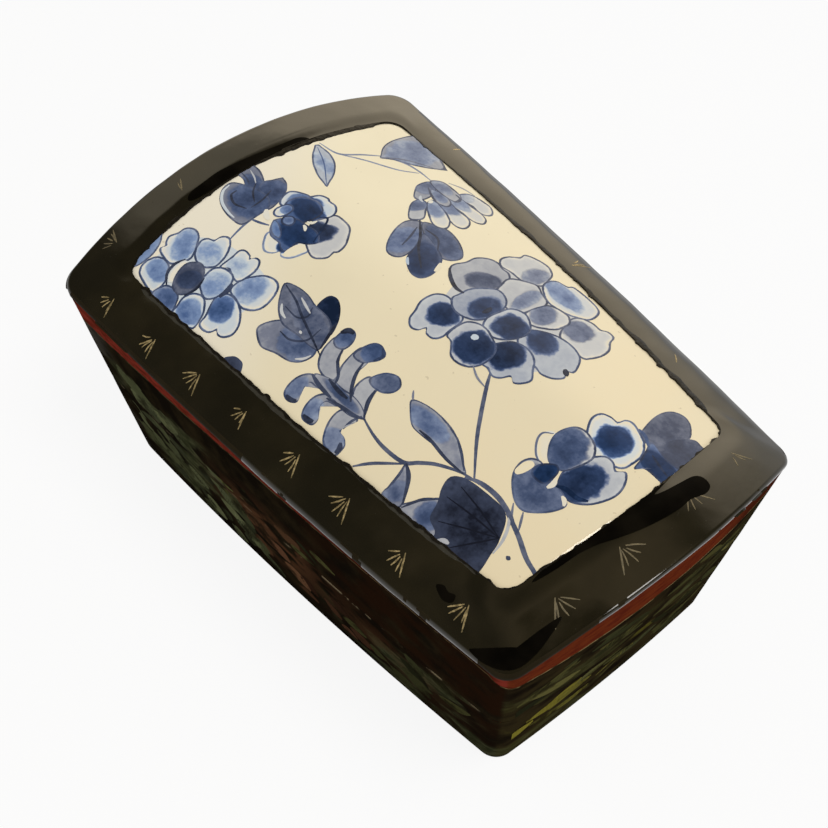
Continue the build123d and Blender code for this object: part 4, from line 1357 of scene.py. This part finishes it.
def sideZones(coat, bottom, top):
    # colour zones of the painted sides, as values on the coats' points
    points = readPoints(coat)
    x, y, z = (points / mm).T
    t = np.clip(points[:, 0] / boxShape["rimLength"] + 0.5, 0, 1)   # 0 at the wide end, 1 at the narrow
    outwards = np.abs(readNormals(coat))
    onEnd = steps(0.6, 0.8, outwards[:, 0] / np.maximum(np.hypot(outwards[:, 0], outwards[:, 1]), 0.01))
    front = (y < 0) * (1 - onEnd)
    back = (y > 0) * (1 - onEnd)
    narrow, wide = onEnd * (x > 0), onEnd * (x < 0)
    # where the red band ends, in millimetres above the foot
    level = 44.3 + 1.6 * steps(0, 0.25, t) + 2.6 * steps(0.2, 0.55, t) + 1.2 * steps(0.5, 0.9, t)
    level = level * (1 - onEnd) + 46.5 * onEnd
    corner = steps(0.965, 0.99, t) * front
    redLength = 1 - 0.25 * steps(0.3, 0.5, t) - 0.7 * steps(0.48, 0.78, t)
    red = np.clip(redLength * (front + back) + onEnd + corner, 0, 1)
    zones = {
        "band": (z - level) + 2.5 * corner,
        "red": (1 - 0.85 * narrow * steps(12, 24, y)) * red,
        "warm": np.clip(narrow + 0.35 * wide - corner, 0, 1),
        "gilt": np.clip(0.25 * front + 0.2 * back + 0.9 * narrow + 0.6 * wide, 0, 1),
    }
    # foliage colours: where along a side, then how high
    greenLong = 0.95 * steps(0.04, 0.12, t) * steps(0.5, 0.36, t) * steps(40, 33, z)
    greenLong = greenLong + 0.75 * steps(0.55, 0.7, t) * steps(29, 24, z)
    greenEnd = 0.6 * steps(43, 38, z)
    zones["green"] = np.clip(greenLong * (front + 0.9 * back) + greenEnd * onEnd, 0, 1)
    rustSpots = 1.5 * softPatch(t, z, 0.47, 22, 0.1, 9) + 0.4 * softPatch(t, z, 0.72, 15, 0.12, 7)
    zones["rust"] = np.clip(rustSpots * (front + back), 0, 1)
    brownLong = steps(0.45, 0.75, t) * (0.4 + 0.6 * steps(12, 30, z))
    zones["brown"] = np.clip(brownLong * (front + back) + 0.1 * onEnd, 0, 1)
    zones["olive"] = onEnd * 0.9
    zones["grey"] = np.clip(steps(0.12, 0.03, t) * (front + 0.6 * back), 0, 1)
    across = y / (halfWidth(points[:, 0]) / mm)
    yellowSpots = softPatch(across, z, -0.75, 20, 0.22, 9) + softPatch(across, z, 0.1, 24, 0.2, 6)
    zones["yellow"] = np.clip(onEnd * (0.12 + 0.6 * yellowSpots), 0, 1)
    # lacquer chipped along the seam
    seamEdge = 1 - np.clip(np.minimum(np.abs(z - bottom / mm), np.abs(z - top / mm)) / 0.35, 0, 1)
    nearSeam = np.abs(z - boxShape["seam"] / mm) < 1.5
    zones["worn"] = seamEdge * nearSeam * (0.3 + 0.7 * steps(0.42, 0.55, t)) * steps(0.96, 0.9, t)
    for title, values in zones.items():
        pointValue(coat, title, values)


def rubRim():
    # parts of the rim are rubbed matt
    topCoat.data.materials.append(rimLacquer)
    wear = zip(topCoat.data.attributes["dull"].data, topCoat.data.attributes["rubbed"].data)
    rubbed = [dull.value > 0.1 and dull.value + patch.value > 0.5 for dull, patch in wear]
    for face in topCoat.data.polygons:
        face.material_index = int(all(rubbed[i] for i in face.vertices))


sideZones(lidSideCoat, aboveSeam, math.inf)
sideZones(baseSideCoat, coatShape["footGap"], belowSeam)
finishPiece(topCoat, "lid", topLacquer, "black_lacquer_wood")
rubRim()
finishPiece(lidSideCoat, "lid", sideLacquer, "black_lacquer_wood")
finishPiece(baseSideCoat, "base", sideLacquer, "black_lacquer_wood")
finishPiece(porcelain, "lid", glaze, "blue_white_porcelain", "porcelain_shard")
finishPiece(bead, "lid", beadLacquer, "lacquer_putty", "putty_bead")
print("coats, porcelain and bead dressed")

sheetCount = 0
for name, makeMotif in motifMakers.items():
    sheets = makeMotif()
    sheetCount += len(sheets)
    finishPainting(name, sheets, cobalt)
print("cobalt painting laid:", sheetCount, "strokes and petals")


# gilt fans on the border
fanShape = {
    "lift": 0.035 * mm,
    "thickness": 0.03 * mm,
    "width": 0.31 * mm,
    "steps": 14,                 # rows along a stroke
    "strokes": (-52, -30, -8, 16),   # turned from the middle of the fan
    # apex in plan millimetres, turn, size, side of the long stroke, share of strokes left
    "fans": [
        (-50, -39.5, -95, 1.0, 1, 1), (-36, -39, -95, 1.0, 1, 1), (-23, -37.5, -93, 1.05, 1, 1),
        (-10, -36, -92, 0.9, 1, 1), (4.5, -34.5, -91, 1.1, 1, 1), (18, -33.5, -90, 1.15, 1, 1),
        (33, -33, -88, 1.05, 1, 1), (48, -31.5, -84, 1.1, 1, 1), (57.6, -21, -12, 1.3, -1, 1),
        (58.4, -7, -2, 1.3, -1, 1), (58, 10, 8, 1.2, 1, 0.8), (56, 24, 12, 1.0, 1, 0.5),
        (-60, -32, 188, 0.9, -1, 0.8), (-60.6, -15, 184, 0.9, -1, 0.4), (-40, 40, 95, 1.0, -1, 0.4),
        (2, 36.6, 92, 1.0, -1, 0.4), (34, 34, 88, 1.0, -1, 0.4),
    ],
}
coatTree = BVHTree.FromObject(topCoat, bpy.context.evaluated_depsgraph_get())


def onCoat(x, y, lift):
    # a place on the top coat, found from above
    hit = coatTree.ray_cast(Vector((x, y, 90 * mm)), Vector((0, 0, -1)))[0]
    return (x, y, (hit.z if hit is not None else archHeight(x, y)) + lift)


# painted dark reflections: matt near-black sheets laid on the border beside the panel and at the front
# corner, standing for dark reflections and shade, as outlines in plan millimetres
darkReflectionShape = {
    "lift": 0.1 * mm,
    "rings": 26,
    "turns": 150,
    "paintedDarkReflections": [
        [(53, -22), (54.2, -17.6), (54.8, -13), (55.8, -9.4), (57, -6.6), (58.4, -2.6), (59.4, 2), (59.8, 6),
         (59.6, 9.4), (60.2, 12.6), (59.5, 14.5), (57.6, 14.8), (56.3, 13.6), (55.9, 10.4), (55.5, 7),
         (54.9, 5), (54.4, 7.6), (53.7, 10.6), (53.3, 6), (53.3, 0), (53, -9), (52.6, -17)],
        [(60.9, -22.5), (61.9, -26), (62.4, -29.5), (61.9, -32.8), (59.8, -35), (56.4, -36.2), (53.4, -36.2),
         (56.4, -34.8), (58.6, -32.4), (59.6, -29.5), (60, -26)],
        [(-56, 14.6), (-57.8, 13.4), (-58.3, 9), (-58.9, 4), (-59.3, 0), (-59.8, -6), (-59.5, -10),
         (-59, -14), (-57.6, -15.4), (-56.8, -12), (-57, 0), (-56.2, 8)],
        [(41.4, -33.3), (42.4, -32.4), (43.8, -32.6), (45.2, -32.2), (45.6, -33.4), (43.9, -34.1)],
    ],
}


# lays the painted dark reflections, dark sheets standing for reflection and shade, on the top coat
def makePaintedDarkReflections():
    s = darkReflectionShape
    parts = []
    for loop in s["paintedDarkReflections"]:
        plan, _ = filledPlan(loop, s["rings"], s["turns"])
        places = [onCoat(x * mm, y * mm, s["lift"]) for x, y in plan.reshape(-1, 2)]
        parts.append(gridPiece("dark_reflection_patch", np.array(places).reshape(*plan.shape[:2], 3)))
    finishPainting("painted_dark_reflections", parts, darkReflectionPaint, "black_lacquer_wood")


def giltStroke(path, width):
    # a thin tapered strip draped on the border
    count = fanShape["steps"]
    course = smoothPath(path, count)
    along = np.gradient(course, axis=0)
    along /= np.linalg.norm(along, axis=1)[:, None]
    side = np.column_stack((-along[:, 1], along[:, 0]))
    share = np.linspace(0, 1, count)
    widths = width * np.sin(math.pi * (0.12 + 0.8 * share)) ** 0.6
    rows = []
    for across in (-0.5, 0, 0.5):
        plan = course + side * (across * widths)[:, None]
        lift = fanShape["lift"] * (1 if across == 0 else 0.6)
        rows.append([onCoat(x, y, lift) for x, y in plan])
    return np.array(rows)


def facingTo(degrees):
    return np.array((math.cos(math.radians(degrees)), math.sin(math.radians(degrees))))


def makeFans():
    s = fanShape
    random.seed(5)
    parts = []
    for x, y, turn, size, longSide, amount in s["fans"]:
        apex = np.array((x, y)) * mm
        turns = [turn + random.uniform(-5, 5) + longSide * a for a in s["strokes"]]
        for angle in turns:
            if random.random() > amount:
                continue
            facing = facingTo(angle)
            first = random.uniform(0.7, 1.3) * mm
            last = random.uniform(2.9, 3.5) * size * mm
            bend = np.array((-facing[1], facing[0])) * random.uniform(-0.12, 0.12) * mm
            path = [apex + facing * first, apex + facing * (first + last) / 2 + bend, apex + facing * last]
            parts.append(giltStroke(path, s["width"] * random.uniform(0.75, 1.1)))
        if random.random() <= amount:
            facing = facingTo(turn + longSide * (30 + random.uniform(-4, 4)))
            path = [apex + facing * reach * mm for reach in (0.2, 2.2 * size, 4.2 * size)]
            parts.append(giltStroke(path, s["width"] * 1.05))
    fans = stripsPiece("gilt_fan_marks", np.array(parts))
    thicken(fans, s["thickness"])
    finishPiece(fans, "lid", gilt, "black_lacquer_wood")


makePaintedDarkReflections()
makeFans()
print("matt pools and gilt fans laid")


# brushed foliage on the painted sides: small tapered dabs laid along the walls
foliageShape = {
    "lift": 0.03 * mm,
    "thickness": 0.03 * mm,
    "steps": 12,
    # side, share along it (low, high), height (low, high), dabs, turn, length, width, colour
    "clusters": [
        (0, 0.03, 0.15, 6, 28, 12, -28, (4, 8), (3, 6), 0.14),
        (0, 0.06, 0.2, 22, 36, 10, -24, (5, 9), (2.6, 5), 0.1),
        (0, 0.1, 0.38, 12, 32, 26, -28, (5, 10), (3, 6.4), 0.12),
        (0, 0.2, 0.46, 3, 16, 16, -24, (4, 9), (2.6, 5.4), 0.16),
        (0, 0.34, 0.48, 20, 34, 8, -12, (5, 9), (1.2, 2.4), 0.32),
        (0, 0.41, 0.56, 10, 31, 11, -28, (5, 9), (2.8, 5.6), 0.8),
        (0, 0.5, 0.7, 4, 16, 6, -20, (5, 9), (2.4, 4.6), 0.9),
        (0, 0.56, 0.68, 26, 34, 4, -10, (6, 10), (1.6, 3), 0.34),
        (0, 0.62, 0.96, 4, 22, 9, -16, (5, 10), (3, 5.6), 0.36),
        (1, 0.02, 0.5, 26, 42, 12, 3, (8, 17), (2.2, 4.6), 0.37),
        (1, 0.03, 0.28, 10, 23, 9, 4, (8, 14), (2.6, 4.6), 0.5),
        (1, 0.24, 0.5, 12, 32, 10, 5, (8, 16), (1.6, 3), 0.44),
        (1, 0.42, 0.66, 19, 26, 7, 4, (8, 15), (1.4, 2.6), 0.6),
        (1, 0.5, 0.98, 6, 42, 24, -3, (7, 15), (2.2, 4.6), 0.34),
        (2, 0.05, 0.5, 3, 34, 50, 14, (7, 15), (1.3, 2.9), 0.2),
        (2, 0.4, 0.62, 8, 32, 22, -16, (6, 12), (1.4, 3), 0.8),
        (2, 0.6, 0.95, 3, 34, 40, 12, (7, 15), (1.3, 2.8), 0.18),
        (3, 0.05, 0.55, 4, 40, 40, 8, (8, 18), (1.4, 3), 0.38),
        (3, 0.5, 0.95, 4, 40, 40, -6, (8, 18), (1.4, 3), 0.28),
    ],
}


def onWall(side, share, height):
    # a place on the side coats: side number, share along the side, height
    places = np.flatnonzero(ringSide == side)[:sideSteps[side]]
    index = places[0] + np.clip(share, 0, 1) * (len(places) - 1)
    low = np.floor(index).astype(int)
    part = (index - low)[..., None]
    proud = coatShape["proud"] + foliageShape["lift"]
    high = np.minimum(low + 1, places[-1])
    rise = (height / boxShape["rimHeight"])[..., None]
    foot = footRing[low] * (1 - part) + footRing[high] * part
    rim = rimRing[low] * (1 - part) + rimRing[high] * part
    facing = rimFacing[low] * (1 - part) + rimFacing[high] * part
    return foot + (rim - foot) * rise + facing * proud


def makeDab(side, share, height, turn, length, width, limits):
    s = foliageShape
    sideLength = np.linalg.norm(np.diff(rimRing[ringSide == side], axis=0), axis=1).sum()
    t = np.linspace(0, 1, s["steps"])
    bend = random.uniform(-0.12, 0.12) * length * np.sin(math.pi * t)
    half = width / 2 * np.sin(math.pi * (0.04 + 0.92 * t ** random.uniform(0.6, 1.3))) ** 0.8
    cos, sin = math.cos(math.radians(turn)), math.sin(math.radians(turn))
    rows = []
    for across in (-1, 0, 1):
        along, up = (t - 0.5) * length, bend + across * half
        heights = np.clip(height + (along * sin + up * cos), *limits)
        places = onWall(side, share + (along * cos - up * sin) / sideLength, heights)
        rows.append(np.column_stack((places, heights)))
    return np.array(rows)


def makeFoliage(name, body, limits, seed):
    random.seed(seed)
    dabs, hues = [], []
    for side, first, last, low, high, count, turn, lengths, widths, hue in foliageShape["clusters"]:
        for _ in range(count):
            height = random.uniform(low, high) * mm
            share = random.uniform(first, last)
            if not limits[0] + 1 * mm < height < limits[1] - 1 * mm:
                continue
            size = random.uniform(*lengths) * mm, random.uniform(*widths) * mm
            colour = hue + random.uniform(-0.08, 0.08)
            dabs.append(makeDab(side, share, height, turn + random.gauss(0, 15), *size, limits))
            hues.append((colour, random.random()))
    foliage = stripsPiece(name, np.array(dabs))
    values = np.repeat(np.array(hues), 3 * foliageShape["steps"], axis=0)
    pointValue(foliage, "hue", values[:, 0])
    pointValue(foliage, "shade", values[:, 1])
    pickOnly(foliage)
    bpy.ops.object.mode_set(mode="EDIT")
    bpy.ops.mesh.select_all(action="SELECT")
    bpy.ops.mesh.delete_loose()
    bpy.ops.object.mode_set(mode="OBJECT")
    thicken(foliage, foliageShape["thickness"])
    finishPiece(foliage, body, foliagePaint, "black_lacquer_wood")


def makeFoliagePaint():
    # dark green, olive, yellow-green, then rust, rubbed thin in places
    material, tree, shader = newMaterial("foliage_paint", 0.42, Specular_IOR_Level=0.0)
    paint = ramp(tree, meshValue(tree, "hue"), [
        (0.1, (0.09, 0.1, 0.05)), (0.3, (0.04, 0.042, 0.018)), (0.45, (0.08, 0.075, 0.025)),
        (0.6, (0.25, 0.22, 0.03)), (0.72, (0.085, 0.043, 0.022)), (0.9, (0.062, 0.029, 0.016)),
    ])
    lighter = blendColours(tree, 1.0, paint, (1.9, 1.9, 1.9), "MULTIPLY")
    darker = blendColours(tree, 1.0, paint, (0.45, 0.45, 0.5), "MULTIPLY")
    shade = meshValue(tree, "shade")
    colour = blendColours(tree, between(tree, shade, 0.75, 1.0), paint, lighter)
    colour = blendColours(tree, between(tree, shade, 0.5, 0.1), colour, darker)
    rubbed = between(tree, pattern(tree, 170, 4, 0.6), 0.48, 0.62)
    colour = blendColours(tree, sums(tree, "MULTIPLY", rubbed, 0.75), colour, (0.012, 0.009, 0.005))
    feed(tree, shader.inputs["Base Color"], colour)
    return material


foliagePaint = makeFoliagePaint()
makeFoliage("lid_side_foliage", "lid", (boxShape["seam"] + 0.6 * mm, 43.6 * mm), 21)
makeFoliage("base_side_foliage", "base", (1.2 * mm, boxShape["seam"] - 0.6 * mm), 22)
print("foliage laid")


# view, light and floor
viewSettings = {
    "target": (7.9 * mm, -10.1 * mm, 49.6 * mm),
    "azimuth": 50.0,
    "elevation": 52.9,
    "distance": 274.3 * mm,
    "lens": 62.3,
}
lampSettings = {
    "middle": (0, 0, 45 * mm),
    "direction": (0.35, 0.1, 0.93),
    "distance": 0.95,
    "size": 0.42,
    "power": 4.9,
    "colour": (1, 0.97, 0.93),
}


def makeCamera():
    v = viewSettings
    azimuth, elevation = math.radians(v["azimuth"]), math.radians(v["elevation"])
    flatShare = math.cos(elevation)
    back = Vector((math.sin(azimuth) * flatShare, -math.cos(azimuth) * flatShare, math.sin(elevation)))
    deselectAll()
    bpy.ops.object.camera_add(location=Vector(v["target"]) + back * v["distance"])
    camera = bpy.context.object
    camera.rotation_euler = back.to_track_quat("Z", "Y").to_euler()
    camera.data.lens = v["lens"]
    camera.data.sensor_width = 36
    camera.data.clip_start = 0.01
    bpy.context.scene.camera = camera


def makeFloor():
    deselectAll()
    bpy.ops.mesh.primitive_plane_add(size=60)
    floor = bpy.context.object
    floor.name = "floor"
    material, tree, shader = newMaterial("pale_floor", 0.9)
    shader.inputs["Base Color"].default_value = (0.8, 0.8, 0.8, 1)
    shader.inputs["Specular IOR Level"].default_value = 0.1
    glow = addNode(tree, "Emission", Strength=1.0)
    path = addNode(tree, "LightPath")
    mix = addNode(tree, "MixShader")
    seen = sums(tree, "ADD", path.outputs["Is Camera Ray"], path.outputs["Is Glossy Ray"])
    seen = sums(tree, "ADD", seen, path.outputs["Is Transmission Ray"], clamp=True)
    feed(tree, mix.inputs[0], sums(tree, "MULTIPLY", seen, 0.9))
    feed(tree, mix.inputs[1], shader.outputs[0])
    feed(tree, mix.inputs[2], glow.outputs[0])
    feed(tree, tree.nodes["Material Output"].inputs["Surface"], mix.outputs[0])
    floor.data.materials.append(material)


def makeWorld():
    # white to the camera, a soft studio gradient to reflections, even light to everything else
    world = bpy.data.worlds.new("studio")
    bpy.context.scene.world = world
    world.use_nodes = True
    tree = world.node_tree
    path = addNode(tree, "LightPath")
    facing = addNode(tree, "TexCoord").outputs["Generated"]
    x, y, z = placeParts(tree, "Generated")
    sky = ramp(tree, z, [
        (0.0, (0.8, 0.78, 0.74)), (0.2, (0.8, 0.77, 0.7)), (0.4, (0.36, 0.34, 0.29)),
        (0.6, (0.09, 0.08, 0.062)), (1.0, (0.05, 0.045, 0.035)),
    ])
    window = addNode(tree, "VectorMath", operation="DOT_PRODUCT")
    feed(tree, window.inputs[0], facing)
    window.inputs[1].default_value = (-0.62, 0.66, 0.42)
    patch = between(tree, window.outputs["Value"], 0.78, 0.97)
    patch = sums(tree, "MULTIPLY", patch, between(tree, z, 0.8, 0.58))
    sky = blendColours(tree, patch, sky, (2.2, 1.9, 1.42))
    ceiling = sums(tree, "MULTIPLY", between(tree, z, 0.78, 0.9), between(tree, x, -0.48, -0.1))
    sky = blendColours(tree, ceiling, sky, (0.46, 0.36, 0.22))
    glow = sums(tree, "MULTIPLY", between(tree, x, -0.56, -0.66), between(tree, y, -0.14, 0.04))
    glow = sums(tree, "MULTIPLY", glow, between(tree, z, 0.45, 0.58))
    sky = blendColours(tree, glow, sky, (1.05, 0.93, 0.7))
    corner = sums(tree, "MULTIPLY", between(tree, x, -0.22, -0.14), between(tree, y, 0.02, -0.06))
    corner = sums(tree, "MULTIPLY", corner, between(tree, z, 0.5, 0.6))
    sky = blendColours(tree, corner, sky, (0.02, 0.018, 0.014))
    gloss = blendColours(tree, path.outputs["Is Glossy Ray"], (0.46, 0.45, 0.435), sky)
    colour = blendColours(tree, path.outputs["Is Camera Ray"], gloss, (0.975, 0.975, 0.975))
    feed(tree, tree.nodes["Background"].inputs["Color"], colour)


def makeLamp():
    s = lampSettings
    direction = Vector(s["direction"])
    deselectAll()
    place = Vector(s["middle"]) + direction.normalized() * s["distance"]
    bpy.ops.object.light_add(type="AREA", location=place)
    lamp = bpy.context.object
    lamp.name = "key_lamp"
    lamp.data.shape = "DISK"
    lamp.data.size = s["size"]
    lamp.data.energy = s["power"]
    lamp.data.color = s["colour"]
    lamp.rotation_euler = direction.to_track_quat("Z", "Y").to_euler()


makeCamera()
makeFloor()
makeWorld()
makeLamp()
bpy.context.scene.view_settings.view_transform = "Standard"
print("stage set")
